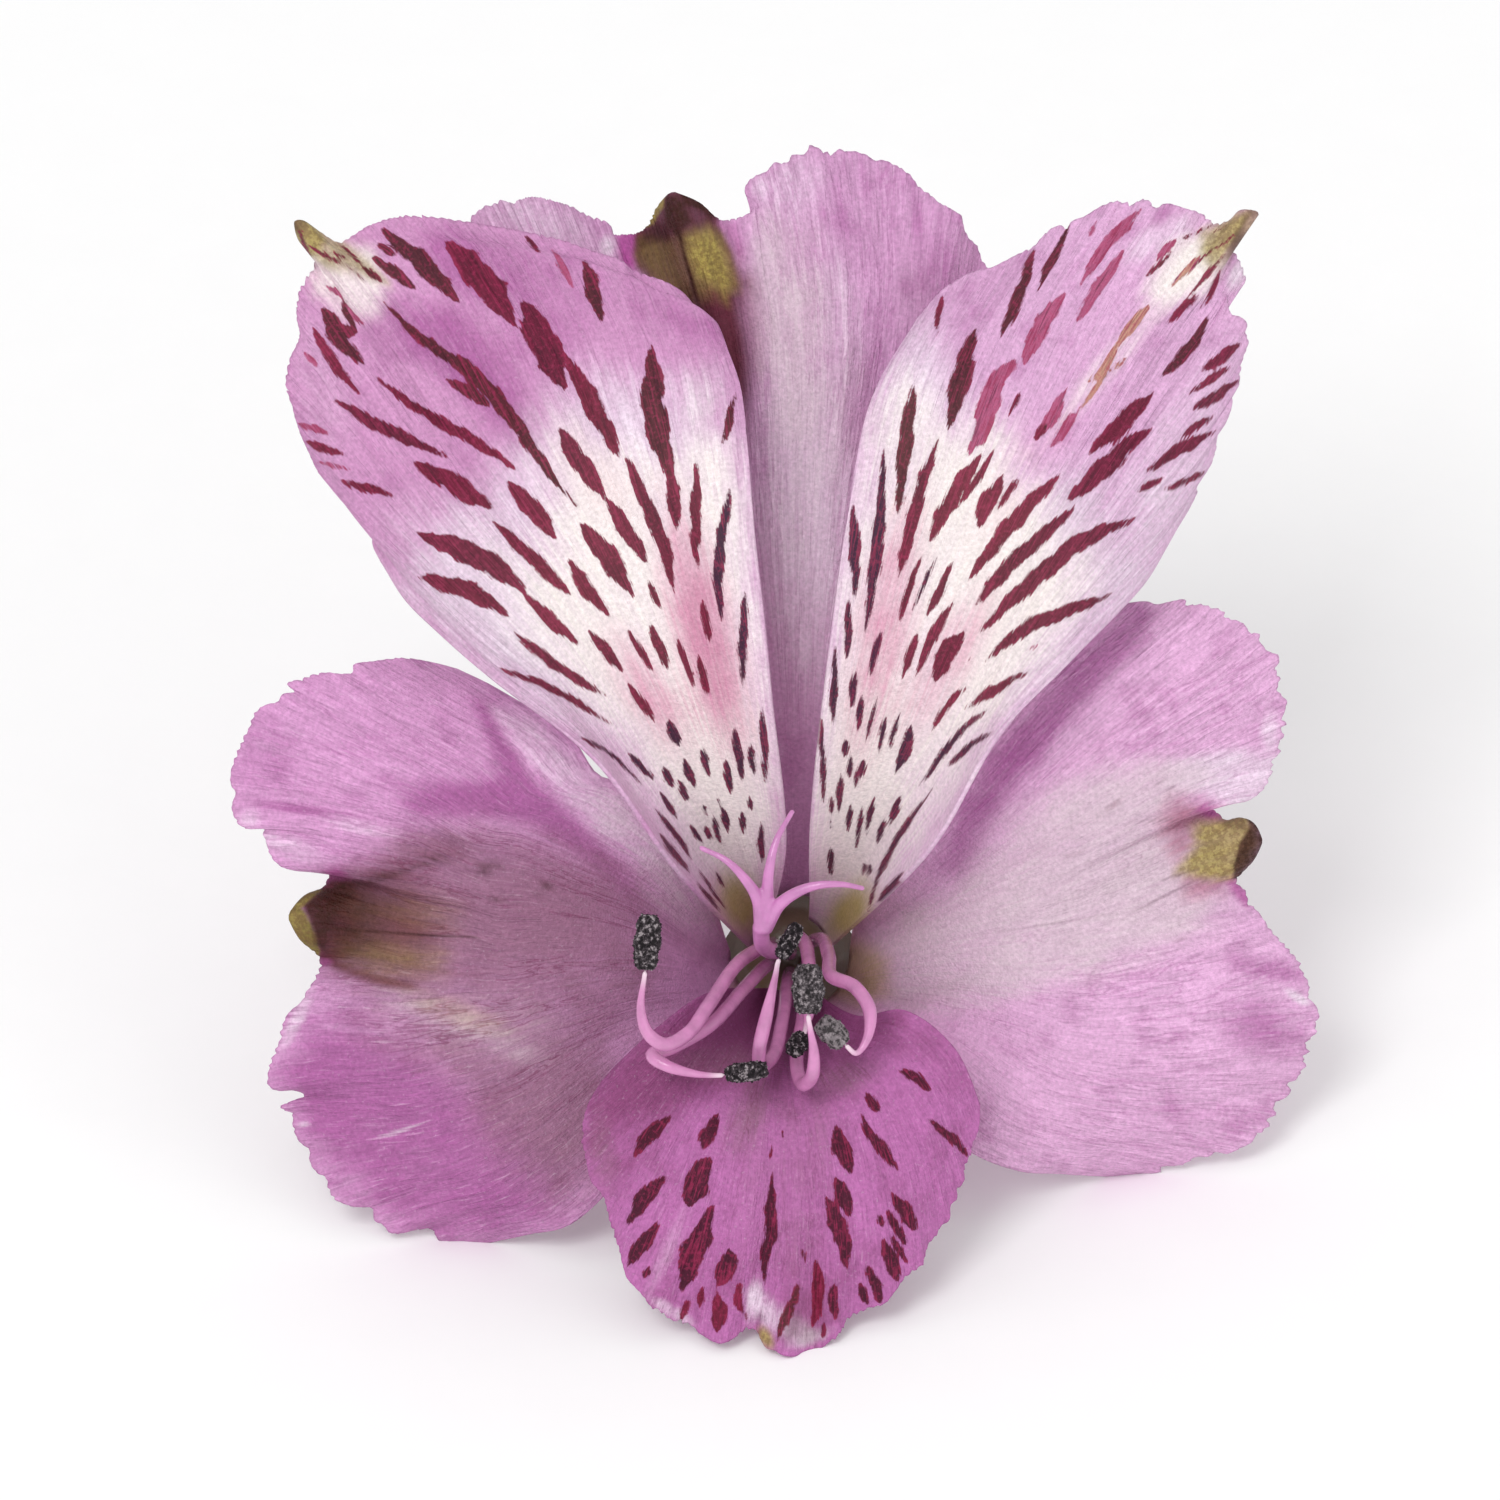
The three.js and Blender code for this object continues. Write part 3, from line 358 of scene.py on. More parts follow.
            (0.5, 4.4, -21, 5.05, -22.6), (0.5, 2.85, -21.1, 2.7, -22.1, 2.85, -23.4),
            (0.2, 0.6, -18.5, 0.9, -19.9), (0.2, 2.2, -23.6, 2.1, -24.6),
        ],
        "crimson": [
            (0.35, -6.5, -22, -7.1, -23.6), (0.4, -5.55, -21.2, -5.85, -22.7),
            (0.8, -4.7, -21.7, -4.55, -22.9, -4.7, -24.4), (0.25, -1.25, -12.2, -1.4, -13.2),
            (0.35, -3.3, -20.9, -3.4, -22.2, -2.8, -23.5),
            (0.75, 1.55, -19.3, 1.75, -20.9, 1.85, -21.9, 1.4, -23.9),
        ],
        "rust": [(0.45, 0.6, -20.9, 0.05, -22.6, -0.5, -23.8, -0.8, -24.9)],
    },
}
STREAK_TONES = ("ink", "plum", "wine", "crimson", "rust", "rose", "tan")
SPINE_POINTS = 12
STREAK_REACH = 1.5  # how far round its spine a streak is looked for

# ------------------------------------------------------------------ soft patches of colour, light and shade
# Elliptical patches on the tepals: centre, half length and half width, the direction of the
# length in degrees, and strength. Deep and mauve patches are partly painted shade, beside folds,
# at the claws and under the edges of neighbouring tepals; some pale and cream patches are painted
# light, on lit ridges and where they lighten shade near the throat.
PATCHES = {
    "inner_tepal_left": {
        "deep": [(-19.5, 38, 6, 2.5, 135, 0.55), (-21, 44.5, 4, 2, 150, 0.5), (-9, 42, 4, 1.5, 155, 0.3)],
        "cream": [
            (-11.5, 27.5, 8, 3.2, 122, 0.6), (-5, 13, 11, 3.4, 105, 0.9), (-14, 21, 8, 3.4, 135, 0.6),
            (-5, 28, 9, 2, 95, 0.4),
        ],
        "pale": [
            (-20, 24, 7, 4, 140, 0.55), (-30, 36.5, 5, 2, 100, 0.12), (-15, 20, 8, 3, 140, 0.5),
            (-11, 34, 5, 3, 120, 0.4),
        ],
        "mauve": [(-5, 7.5, 4.5, 2.6, 125, 0.3), (-5.8, 22, 5, 1.2, 100, 0.2)],
        "maroon": [(-5.3, 21, 7, 1.8, 103, 0.14)],
        "blush": [(-5.5, 21, 9, 2.4, 105, 0.85), (-9, 17, 5, 2, 125, 0.5), (-12.5, 31, 5, 2, 125, 0.12)],
        "olive": [(-3.3, 3.2, 2.6, 1.7, 115, 0.85)],
        "umber": [
            (-4.8, 6.2, 4.4, 2.4, 125, 0.16), (-31.7, 47.1, 0.7, 0.35, 120, 0.5),
            (-31, 45.6, 1.6, 0.15, 112, 0.7),
        ],
    },
    "inner_tepal_right": {
        "deep": [(12, 42, 5, 1.6, 45, 0.2), (24, 47.6, 1.2, 0.5, 60, 0.6)],
        "cream": [
            (10.5, 28, 8, 3.2, 66, 0.6), (4.5, 12, 11, 3.2, 80, 0.9), (14, 20.5, 8, 3, 50, 0.6),
            (25.6, 44.2, 4, 1.4, 48, 0.85), (20, 37.6, 6, 0.9, 50, 0.4), (13, 25, 6, 2.4, 52, 0.7),
        ],
        "pale": [
            (16, 27, 7, 3, 45, 0.5), (8, 36.5, 5, 2, 75, 0.6), (24, 46.2, 3, 1, 30, 0.5),
            (28.9, 43.9, 1.3, 0.6, 60, 0.9), (25.5, 33, 7, 2.6, 62, 0.4),
        ],
        "mauve": [(5.4, 6.5, 4, 2.2, 55, 0.2)],
        "blush": [(6, 21, 9, 2.2, 78, 0.6), (10, 19, 6, 2, 60, 0.45), (15, 31, 6, 2, 55, 0.12)],
        "olive": [(3.9, 2.6, 2.6, 1.6, 60, 0.9), (28.2, 46.4, 2.4, 0.6, 42, 0.5)],
        "umber": [(28.6, 46, 1.5, 0.25, 62, 0.75), (29.6, 47.7, 0.8, 0.3, 40, 0.3)],
    },
    "inner_tepal_lower": {
        "deep": [
            (-6.5, -6, 7, 2.8, 25, 0.9), (7, -5, 6, 1.6, 160, 0.45), (-10, -10.5, 5, 3, 70, 0.5),
            (0, -6, 5, 3.4, 0, 0.3), (-1, -20.5, 8, 3, 0, 0.3), (-12, -14, 3, 2, 100, 0.3),
        ],
        "mauve": [
            (-3, -10.5, 2.5, 1.4, 70, 0.5), (3.6, -8, 2.4, 1, 20, 0.6), (-5, -7, 3, 1.2, 0, 0.4),
            (-2, -9, 3, 0.7, 80, 0.3), (1.8, -10, 4, 0.7, 96, 0.3), (-12, -13, 3, 1, 95, 0.4),
        ],
        "pale": [
            (-7.6, -18.4, 4.2, 0.5, 64, 0.15), (-2.4, -22.2, 1.5, 0.6, 80, 0.7),
            (1.2, -24.6, 1.6, 0.5, 20, 0.4), (-7.5, -23, 1.6, 0.5, 150, 0.5),
        ],
        "olive": [(-1.5, -24.6, 0.9, 0.5, 120, 0.85)],
        "umber": [(-1.9, -23.3, 0.5, 0.4, 0, 0.3), (0.2, -23.6, 1.4, 0.4, 70, 0.35)],
    },
    "outer_tepal_left": {
        "deep": [
            (-21.5, 10.3, 5, 1.2, 172, 0.6), (-16, 8.6, 4.5, 1.2, 150, 0.4),
            (-18.4, 13.5, 3.8, 0.5, 124, 0.55), (-32, 9.4, 3, 0.35, 172, 0.8),
            (-34, 12.5, 2.2, 3, 90, 0.3), (-29.5, -7, 3.4, 1.8, 15, 0.6),
            (-28.5, -10, 3.6, 1.4, 25, 0.45),
        ],
        "mauve": [
            (-18.5, 2.2, 12, 5.2, 4, 0.9), (-14.5, -10, 7, 4.5, 130, 0.7), (-24.5, -5.5, 5, 2, 165, 0.4),
            (-23, 7, 4, 1.4, 10, 0.4),
        ],
        "cream": [
            (-22.5, -3.9, 4, 1, 160, 0.28), (-18.5, -5.6, 3, 0.9, 150, 0.25), (-10, 8.5, 5, 2, 140, 0.45),
            (-7, 4, 4, 2, 130, 0.5),
        ],
        "pale": [
            (-32.4, 7, 2.2, 0.8, 160, 0.45), (-35, 8.8, 0.8, 0.6, 0, 0.4),
            (-31.9, -4.3, 2.4, 0.5, 62, 0.45), (-25.2, -11.4, 1.6, 0.09, 20, 0.8),
            (-31.5, -11, 0.5, 0.12, 5, 0.8), (-27.6, 8.2, 2.4, 0.5, 170, 0.25),
        ],
        "maroon": [(-23.5, -0.9, 4.5, 0.35, 170, 0.3)],
        "olive": [(-21.5, -3.8, 4, 0.9, 160, 0.22), (-2.9, -2.6, 2, 1.3, 45, 0.7)],
        "umber": [
            (-19.6, 5.6, 0.9, 0.55, 25, 0.6), (-19, 3.5, 0.4, 0.3, 0, 0.5),
            (-22.8, 6.1, 0.6, 0.4, 20, 0.3), (-15.8, 4.4, 0.9, 0.32, 60, 0.6),
            (-24, -7.5, 0.5, 0.12, 0, 0.4),
        ],
    },
    "outer_tepal_right": {
        "deep": [
            (16.4, 14.8, 9.5, 1.3, 50, 0.4), (31, -1, 3, 0.8, 172, 0.6), (30.4, -4.8, 3, 2, 160, 0.7),
            (27, -10.6, 5, 1.4, 165, 0.2), (12.6, -10.4, 2.4, 0.4, 75, 0.3),
        ],
        "mauve": [(9, -2.4, 3, 1, 20, 0.4), (24, 7.5, 4, 2, 20, 0.25)],
        "cream": [
            (8.6, 1.4, 4, 3, 20, 0.5), (19.5, 4.4, 10, 3.4, 16, 0.6), (16, -0.6, 8, 1.8, 20, 0.45),
            (20, 9.6, 5, 2.2, 10, 0.6), (24.5, 11.8, 3.4, 1.1, 176, 0.7), (25, 2.4, 4, 1.2, 25, 0.5),
        ],
        "pale": [(31, 14.2, 1.6, 0.7, 90, 0.5), (32.8, -2.8, 1, 0.35, 150, 0.9)],
        "maroon": [
            (21, 9.7, 0.5, 0.25, 20, 0.4), (18.3, 6.5, 0.8, 0.2, 20, 0.2), (25, 0.7, 0.5, 0.15, 50, 0.3),
        ],
        "umber": [
            (24.1, 3.7, 2.4, 0.12, 27, 0.45), (24.8, 5.05, 1.3, 0.1, 15, 0.45),
            (23.6, 8.7, 2, 0.1, 2, 0.4), (24.3, 10.8, 1.1, 0.1, -25, 0.35), (17, 2, 5, 0.1, 9, 0.25),
        ],
    },
    "outer_tepal_top": {
        "deep": [
            (3.2, 47, 4, 0.7, 100, 0.3), (8.2, 47.5, 3, 0.4, 95, 0.4), (10, 43, 4, 1.6, 115, 0.3),
            (1.8, 49, 2.4, 0.3, 105, 0.35), (4.8, 50, 2.4, 0.3, 100, 0.35),
        ],
        "mauve": [(9, 41, 5, 2, 110, 0.15), (5, 33, 6, 1.6, 100, 0.2)],
        "cream": [(0, 40.5, 6, 2.4, 95, 0.6), (-1.4, 45.6, 3, 1.4, 80, 0.5), (0.6, 31, 6, 2.2, 92, 0.35)],
        # The broad low pale patch is painted light that lightens the shade between the inner tepals.
        "pale": [
            (3.2, 41, 5, 1.4, 95, 0.35), (-11.8, 45.6, 0.9, 0.6, 90, 0.8), (0.2, 49.4, 2.4, 2, 60, 0.4),
            (-16.5, 47, 4, 2, 160, 0.4), (1, 28, 12, 3.4, 92, 0.75), (-1.9, 49.5, 1, 0.7, 90, 0.5),
        ],
        "maroon": [(-9.6, 45.9, 1, 0.3, 90, 0.6)],
        "umber": [(-4.6, 46.2, 1.2, 0.4, 125, 0.3)],
    },
}
SOFT_KINDS = ("deep", "mauve", "pale", "cream", "blush")
HORN_KINDS = ("magenta", "maroon", "olive", "umber")
PATCH_KINDS = (*SOFT_KINDS, *HORN_KINDS)

# Larger areas of the same kinds, by their corners: softness of the edge, strength, then the corners,
# x and y in turn. Deep, mauve and pale areas are partly painted light and shade as the patches are,
# and some maroon and umber areas paint shade round the horned tips.
AREAS = {
    "inner_tepal_left": {
        "deep": [
            (2, 0.35, -7, 41.5, -4.6, 40.6, -3.6, 36.5, -4.8, 35.5, -7, 38.5),
            (1.1, 0.76, -27, 42, -22, 41.5, -18.5, 37, -15.5, 33, -17.5, 32, -21, 36, -25, 39),
            (1.6, 0.4, -24, 46.8, -13, 45, -12, 41, -15, 37.5, -20, 41.5),
        ],
        "pale": [
            (2.5, 0.7, -15, 36, -5, 37, -2.4, 30, -0.8, 8, -3.2, 3.4, -6.8, 5.4, -12.5, 12.6, -19.4, 18.2,
             -24, 23.6, -21, 28),
        ],
        "cream": [
            (2.2, 0.7, -13.6, 33, -9, 32, -4, 32, -2, 20, -1, 9, -4, 6, -9, 11, -14, 19, -16, 26),
            (0.9, 0.75, -31.4, 46, -27, 45.4, -26, 43.4, -26.6, 41.4, -28.4, 41, -30.6, 42.6),
        ],
        "olive": [
            (0.5, 0.65, -31.9, 47.9, -30.4, 46.8, -28.8, 45.9, -27, 44.4, -25.8, 43.2, -28, 43.8,
             -29.8, 44.4, -30.8, 45.2),
            (0.3, 0.8, -32.6, 47.8, -31.6, 47.9, -30.6, 46.9, -30, 45.8, -30.9, 45, -31.8, 46),
        ],
    },
    "inner_tepal_right": {
        "pale": [
            (2, 0.45, 22, 31, 26, 31, 24.8, 26.6, 20, 22),
            (2.4, 0.65, 8, 40, 13.5, 33, 19, 29, 24, 24.4, 13.2, 13.4, 9, 6.6, 4.6, 0.8, 1.8, 3, 2.4, 18,
             4, 29, 6, 36),
        ],
        "cream": [
            (2.2, 0.7, 7.4, 37, 13, 32.5, 16.6, 27.5, 19, 23.5, 13, 15, 8.6, 8, 4.6, 3, 2, 6, 2.6, 18,
             4.2, 28, 6, 35),
            (0.8, 0.75, 27.8, 44.6, 26.6, 42.6, 24.4, 42.4, 22.6, 42.6, 24.2, 45.6, 26.8, 46.6),
        ],
        "olive": [
            (0.5, 0.75, 30.2, 48.2, 29.4, 46.9, 28.5, 45.5, 27.8, 44.6, 27, 44.2, 26.4, 45.4, 26.4, 46.6,
             27.6, 47.2),
        ],
    },
    "inner_tepal_lower": {
        "mauve": [(1.8, 0.2, -4.5, -6, 3.5, -6, 3, -12, 1.6, -20, -2.4, -20.5, -3.6, -13)],
        "maroon": [(0.7, 0.4, 0, -21.6, 2.2, -21, 3, -23.4, 1.6, -25.2, -0.6, -24.8)],
        "pale": [
            (0.5, 0.5, -3, -21.6, -2, -21.2, -0.8, -22.6, 0.6, -23.4, 2, -24.6, 0.4, -25.2, -1.6, -23.8),
        ],
        "deep": [
            (1.6, 0.95, -12.8, -9.6, -11.8, -7.6, -8.7, -4.8, -5.2, -2.4, 0, -1, 1.4, -7.6, -4, -8.6,
             -9.4, -10.6, -12.6, -12),
            (1.1, 0.5, 1.4, -7.4, 2, -2, 4.4, -4, 7.4, -3.8, 5.6, -6.6, 3.4, -7.6),
        ],
    },
    "outer_tepal_left": {
        "deep": [
            (0.5, 0.88, -20.4, 16.2, -19.6, 16.2, -18.6, 14, -17, 11.6, -15, 9.8, -12, 6.8, -10, 4.6,
             -10.6, 3.6, -13.6, 6.2, -16.4, 8.6, -19, 8.8, -23.4, 8.9, -25, 9.8, -23, 10.8, -20, 11.2,
             -18.6, 11.6, -19.4, 13.6),
            (2, 0.9, -31, -4.5, -33, -8, -30.5, -13, -25.5, -17.4, -19.5, -18.5, -15, -17, -14, -13,
             -19, -9, -24, -6, -28, -4.5),
        ],
        "mauve": [
            (2.2, 0.7, -29, 4.5, -26, 7.4, -20, 8.6, -14, 6.8, -9, 2.6, -8, -3, -11, -6, -12, -13,
             -15, -16, -19, -13, -22, -8, -25, -4, -29.5, -1.5),
        ],
        "cream": [(1.4, 0.12, -27, -2.6, -20, -2.6, -15, -4, -16, -7, -20, -6.4, -25, -4.4)],
        "pale": [
            (0.7, 0.4, -19.2, 15.8, -17, 15.4, -12.4, 11.2, -10.6, 9.6, -8, 6.6, -9.4, 5.6, -12, 7.6,
             -15, 10.6, -17, 12.6),
        ],
        "magenta": [
            (0.35, 0.8, -29.9, 5.6, -29, 5.8, -28.4, 4.7, -29.2, 4.2, -30.2, 4),
            (0.25, 0.8, -30.5, 0.2, -30.3, -0.9, -29.3, -0.6, -29.4, 0),
        ],
        # The broad maroon areas round the hooded tip are partly its own colour, partly painted shade in the
        # hood's hollow.
        "maroon": [
            (0.15, 0.85, -31.35, 2.95, -30.2, 4.1, -29.6, 4.7, -28, 4.7, -27.6, 2, -28.5, -0.3,
             -30.4, -0.3, -30.4, 1, -30.9, 2.1),
            (2, 0.8, -30.4, 4.8, -27, 5, -23.8, 4.6, -22.6, 1.8, -24, -1.2, -29.6, -1, -31, 1),
            (1.2, 0.4, -29.6, 4.8, -27, 6.2, -23, 7.2, -21, 6.6, -24, 5, -27, 4.2),
            (0.3, 0.75, -29.6, -0.1, -27.9, -1, -26.2, -1.5, -24.4, -1.8, -24.3, -2.3, -26.2, -2.1,
             -27.9, -1.6, -29.6, -0.9),
        ],
        "olive": [
            (0.1, 0.97, -32.6, 3.2, -32.4, 1.8, -31.5, 0.7, -30.5, -0.4, -30.3, 0.3, -30.45, 1.2,
             -30.9, 2.1, -31.35, 2.7, -30.2, 3.9, -31.4, 4),
            (1.6, 0.2, -29, 3.4, -25, 3.8, -21.5, 3, -21.8, 1.6, -26, 2.2, -28, 1.8),
            (1.4, 0.34, -29, 0.6, -27, 0.9, -22.4, 0, -22.6, -1.2, -26.6, -1.2, -28.6, -0.4),
        ],
        # The broad umber area is likewise partly painted shade in the hollow of the hood.
        "umber": [
            (0.2, 0.9, -31.25, 2.85, -30.1, 4, -28.7, 4.6, -28.2, 3.9, -29.2, 3, -29.7, 1.8, -30, 0.4,
             -30.5, 0.7, -30.85, 2.1),
            (1.7, 0.72, -31.2, 2.6, -30, 4.6, -26.4, 4.8, -25.8, 3.2, -26.4, 1, -27.6, -0.6, -30.4, -0.4),
            (0.15, 0.32, -32.6, 3.2, -32.4, 1.8, -31.5, 0.7, -30.5, -0.4, -30.3, 0.3, -30.45, 1.2,
             -30.9, 2.1, -31.35, 2.7),
            (0.12, 0.5, -32.6, 2.7, -31.6, 4, -30, 4.4, -30.3, 3.8, -31.6, 2.9),
            (0.22, 0.6, -29.6, 4.6, -27.2, 5, -25.6, 5.4, -23.6, 6, -22.4, 6.6, -23.6, 5.7, -25.6, 5,
             -27.2, 4.5, -29, 4),
            (0.07, 0.7, -30, 1.75, -26, 1.5, -23, 1.3, -20, 1.2, -20, 1.08, -23, 1.13, -26, 1.32,
             -30, 1.5),
        ],
    },
    "outer_tepal_right": {
        "deep": [
            # Painted shadow cast by the inner right tepal's edge, over a deeper lilac fold.
            (1, 0.7, 9.4, 5.6, 11, 9.4, 12.6, 12.6, 14.6, 15.2, 17, 18, 20, 21, 21.6, 22.4, 23.6, 22,
             22.4, 19.6, 19, 16.3, 16.6, 13.6, 14, 10, 12.4, 7, 11, 4.6),
        ],
        "cream": [
            (1.8, 0.7, 27.5, 5, 26, 9.4, 26, 11.5, 20, 12, 14, 8.5, 10, 3.5, 6, 0.5, 6, -3.4, 12, -3,
             20, -1.2, 27, 1.5, 28.4, 3),
        ],
        "pale": [
            (0.6, 0.75, 24.4, 12.4, 28.6, 13.2, 31.6, 12.8, 31, 11, 29.4, 9.4, 26.8, 10.2, 24.4, 11),
        ],
        "magenta": [
            (0.3, 0.75, 26.4, 10.2, 27.4, 9.4, 28.2, 8.6, 27.2, 8.6, 26.2, 9.2),
            (0.35, 0.7, 28.4, 5.5, 28.7, 4.8, 29.8, 3.8, 29.6, 3, 28.8, 3.6, 28.2, 4.6),
        ],
        "blush": [
            (1.1, 0.65, 24.8, 10, 26.4, 9.8, 28, 8.9, 26, 8.2, 25.8, 7, 25, 6.2, 23.8, 8.4),
            (0.9, 0.5, 25.6, 5.1, 28.4, 5, 28, 3.6, 25.6, 3.6),
        ],
        "maroon": [
            (0.5, 0.3, 26, 9.4, 28, 8.9, 27.6, 8.3, 26, 8.3),
            (1, 0.4, 24.6, 10, 26.2, 9.6, 26.4, 8.2, 25.8, 7, 25.2, 6.2, 24, 8),
            (0.8, 0.4, 25.2, 5.3, 28.2, 5, 28, 4, 25.4, 3.9),
        ],
        "olive": [
            (0.45, 0.88, 26, 8.5, 28, 8.7, 29.6, 8.8, 29.9, 7.4, 29.2, 5.9, 28.5, 4.9, 27.4, 4.8,
             25.5, 5.2, 24.8, 5.3, 26.1, 7),
            (0.9, 0.7, 1.5, 1.5, 4.6, 0.9, 6.4, -0.4, 6.4, -2.6, 4.8, -3.6, 2.4, -3),
        ],
        "umber": [
            (0.1, 0.97, 29.3, 9, 30.8, 8.4, 30.6, 6.6, 29.2, 4.7, 28.55, 4.9, 28.5, 5.9, 28.9, 7.2,
             29.5, 8.1),
            (0.25, 0.45, 27.8, 8.9, 29.5, 9, 29.2, 7.8, 28, 8.1),
        ],
    },
    "outer_tepal_top": {
        "cream": [(1.4, 0.35, -2, 47.4, 1.6, 47, 3.6, 42, 4.4, 37, 3, 31, -1.4, 33, -1.8, 38, -2.2, 43)],
        "magenta": [
            (0.35, 0.85, -11.2, 46.4, -10.6, 46.7, -9.6, 46.7, -9.7, 45.3, -10, 44.3, -10.9, 44.4,
             -11.1, 45.6),
            (0.5, 0.4, -5, 47.2, -3.4, 47.2, -2.8, 45, -3.4, 45, -4.2, 46.2),
        ],
        "maroon": [
            (0.25, 0.9, -7.4, 50.2, -8.6, 48.7, -9.4, 47.5, -10, 46.8, -10.1, 45.2, -9.9, 44, -8.5, 43,
             -6, 41.6, -4.6, 41.8, -3.5, 42.6, -3.2, 43.6, -3.8, 45.4, -4.8, 47, -4.7, 47.8, -6.2, 49.4),
            # Painted shadow: this area and the next, along the inner left tepal's edge, are partly the
            # tepal's own maroon.
            (0.7, 0.97, -6.1, 42.6, -5.8, 43.9, -4.7, 43.4, -3.5, 42.9, -3.2, 41.4, -2.8, 39, -2.7, 36,
             -3.1, 32, -4, 32, -4.6, 36, -6, 40.6),
            (1.2, 0.55, -5.4, 42.8, -3.6, 43.6, -2.6, 43.6, -2.2, 42.6, -1.9, 40.7, -2, 37, -3, 36,
             -5.6, 40.4),
            (0.8, 0.6, -4.5, 46.9, -3.2, 45, -2.2, 43.2, -3.2, 42.6, -4.2, 43.2, -3.9, 44.4, -4.4, 46),
        ],
        "olive": [
            (0.5, 0.46, -9.7, 46.2, -8.6, 46.1, -7.3, 46.2, -6.8, 44.6, -6.2, 42.2, -7.4, 42.6,
             -9.2, 43.8, -10, 45.1),
            (0.7, 0.95, -6.8, 46.4, -5.6, 46.8, -4.6, 46.2, -4, 45, -3.5, 43.4, -4.2, 42.6, -4.9, 43.2,
             -5.8, 42.9, -6.5, 44.6),
            (0.12, 0.85, -9.6, 46.9, -8.9, 47.8, -8.2, 48.7, -7.6, 49.1, -7.65, 48.3, -8.25, 47.5,
             -8.9, 47),
        ],
        "umber": [
            (0.3, 0.45, -7.4, 49, -7.7, 48.3, -8.3, 47.5, -9.3, 46.7, -10, 46.2, -9.9, 45, -9.5, 44.2,
             -8.2, 43.2, -6, 42, -5.9, 43.6, -6.6, 45.4, -6.4, 46.4, -5.4, 47, -4.7, 47.4, -6.2, 49.4),
            (0.16, 0.95, -7.5, 49, -7.2, 48.8, -6.8, 48.2, -6.35, 47.3, -7.05, 46.4, -7.6, 47.2,
             -7.65, 48.2),
            (0.3, 0.6, -9.5, 46.7, -8.4, 47.3, -7.5, 47.2, -7.2, 46.2, -8.6, 45.9, -9.7, 45.6),
            (0.14, 0.95, -7.2, 49.9, -6.1, 49, -4.8, 47.8, -5.3, 47.3, -6.2, 47.95, -7, 48.4),
            (0.09, 0.95, -7.05, 47, -6.8, 45.4, -6.5, 44, -6.15, 42.3, -5.95, 42.3, -6.3, 44.1,
             -6.6, 45.4, -6.8, 47),
            (0.5, 0.6, -7.2, 43.4, -6.1, 43.2, -5.4, 42.4, -5, 41, -5.8, 40.4, -6.8, 42),
        ],
    },
}

# ------------------------------------------------------------------ stamens, style and stalk
# Each stamen: the angle of its foot, how pale its pollen is, the anther's width and thickness, where
# the anther ends, and the filament's route after its foot.
STAMENS = [
    {"foot": 150, "tone": 0.12, "width": 1.75, "thickness": 1.5, "to": (-9.05, 2.6, 28.1),
     "route": [(-1.9, 0.4, 9), (-3.6, -0.8, 16.5), (-5.4, -3.4, 22.4), (-6.6, -5, 24.9),
               (-8.1, -5.7, 26.2), (-9.2, -4.9, 26.9), (-9.6, -3.4, 27.3), (-9.35, -1.2, 27.6)]},
    {"foot": 210, "tone": 0.08, "width": 1.3, "thickness": 1.2, "to": (-1.5, -7.3, 24),
     "route": [(-1.7, -0.9, 9), (-3, -2.2, 16), (-5.3, -4.6, 21.8), (-7.6, -5.9, 23.3),
               (-8.9, -6.4, 24.2), (-7.9, -7.1, 24.8), (-6.1, -7.6, 24.6), (-4.5, -7.7, 24.2)]},
    {"foot": 270, "tone": 0.06, "width": 1.2, "thickness": 1.1, "to": (0.5, 2, 26),
     "route": [(-0.2, -2.1, 8), (-0.5, -4.2, 14.5), (-1.1, -6.5, 19.4), (-1.9, -7.1, 21.6),
               (-2, -6, 23.4), (-1.5, -3.7, 24.6), (-0.95, -1.2, 25.2), (-0.8, -0.4, 25.4)]},
    {"foot": 330, "tone": 0.2, "width": 2.1, "thickness": 1.5, "to": (1.1, -0.6, 27.4),
     "route": [(1.2, -1.8, 8), (0.8, -4.2, 14.5), (0.4, -7.1, 20), (0.8, -8.3, 22.4),
               (1.4, -7.7, 24.2), (1.5, -6.2, 25.4), (1.3, -4.9, 26.2), (1.15, -4, 26.6)]},
    {"foot": 30, "tone": 0.6, "width": 1.7, "thickness": 1.2, "to": (1.9, -4.2, 25),
     "route": [(2.1, 0.9, 8), (2.5, -0.2, 14.5), (2.7, -1.4, 19.4), (4.2, -2.1, 22),
               (5.1, -3.6, 23.4), (4.9, -5.4, 24.2), (4.2, -6.3, 24.5), (3.7, -5.9, 24.7)]},
    {"foot": 90, "tone": 0.05, "width": 1.3, "thickness": 1.1, "to": (0.1, -6.3, 22.3),
     "route": [(0.5, 1.15, 6), (1, 0.6, 9.5), (1.2, -0.6, 13.4), (1.3, -2.5, 16.8),
               (1.1, -4.2, 19.2), (0.9, -5, 20.2)]},
]
ANTHER_GAP = 0.35  # between a filament's last point and its anther
THREAD = 0.3  # how far a filament's tip runs on towards its anther
OPENED = 0.5  # an anther with a paler tone than this has opened
SAC_RINGS, SAC_SIDES = 26, 32

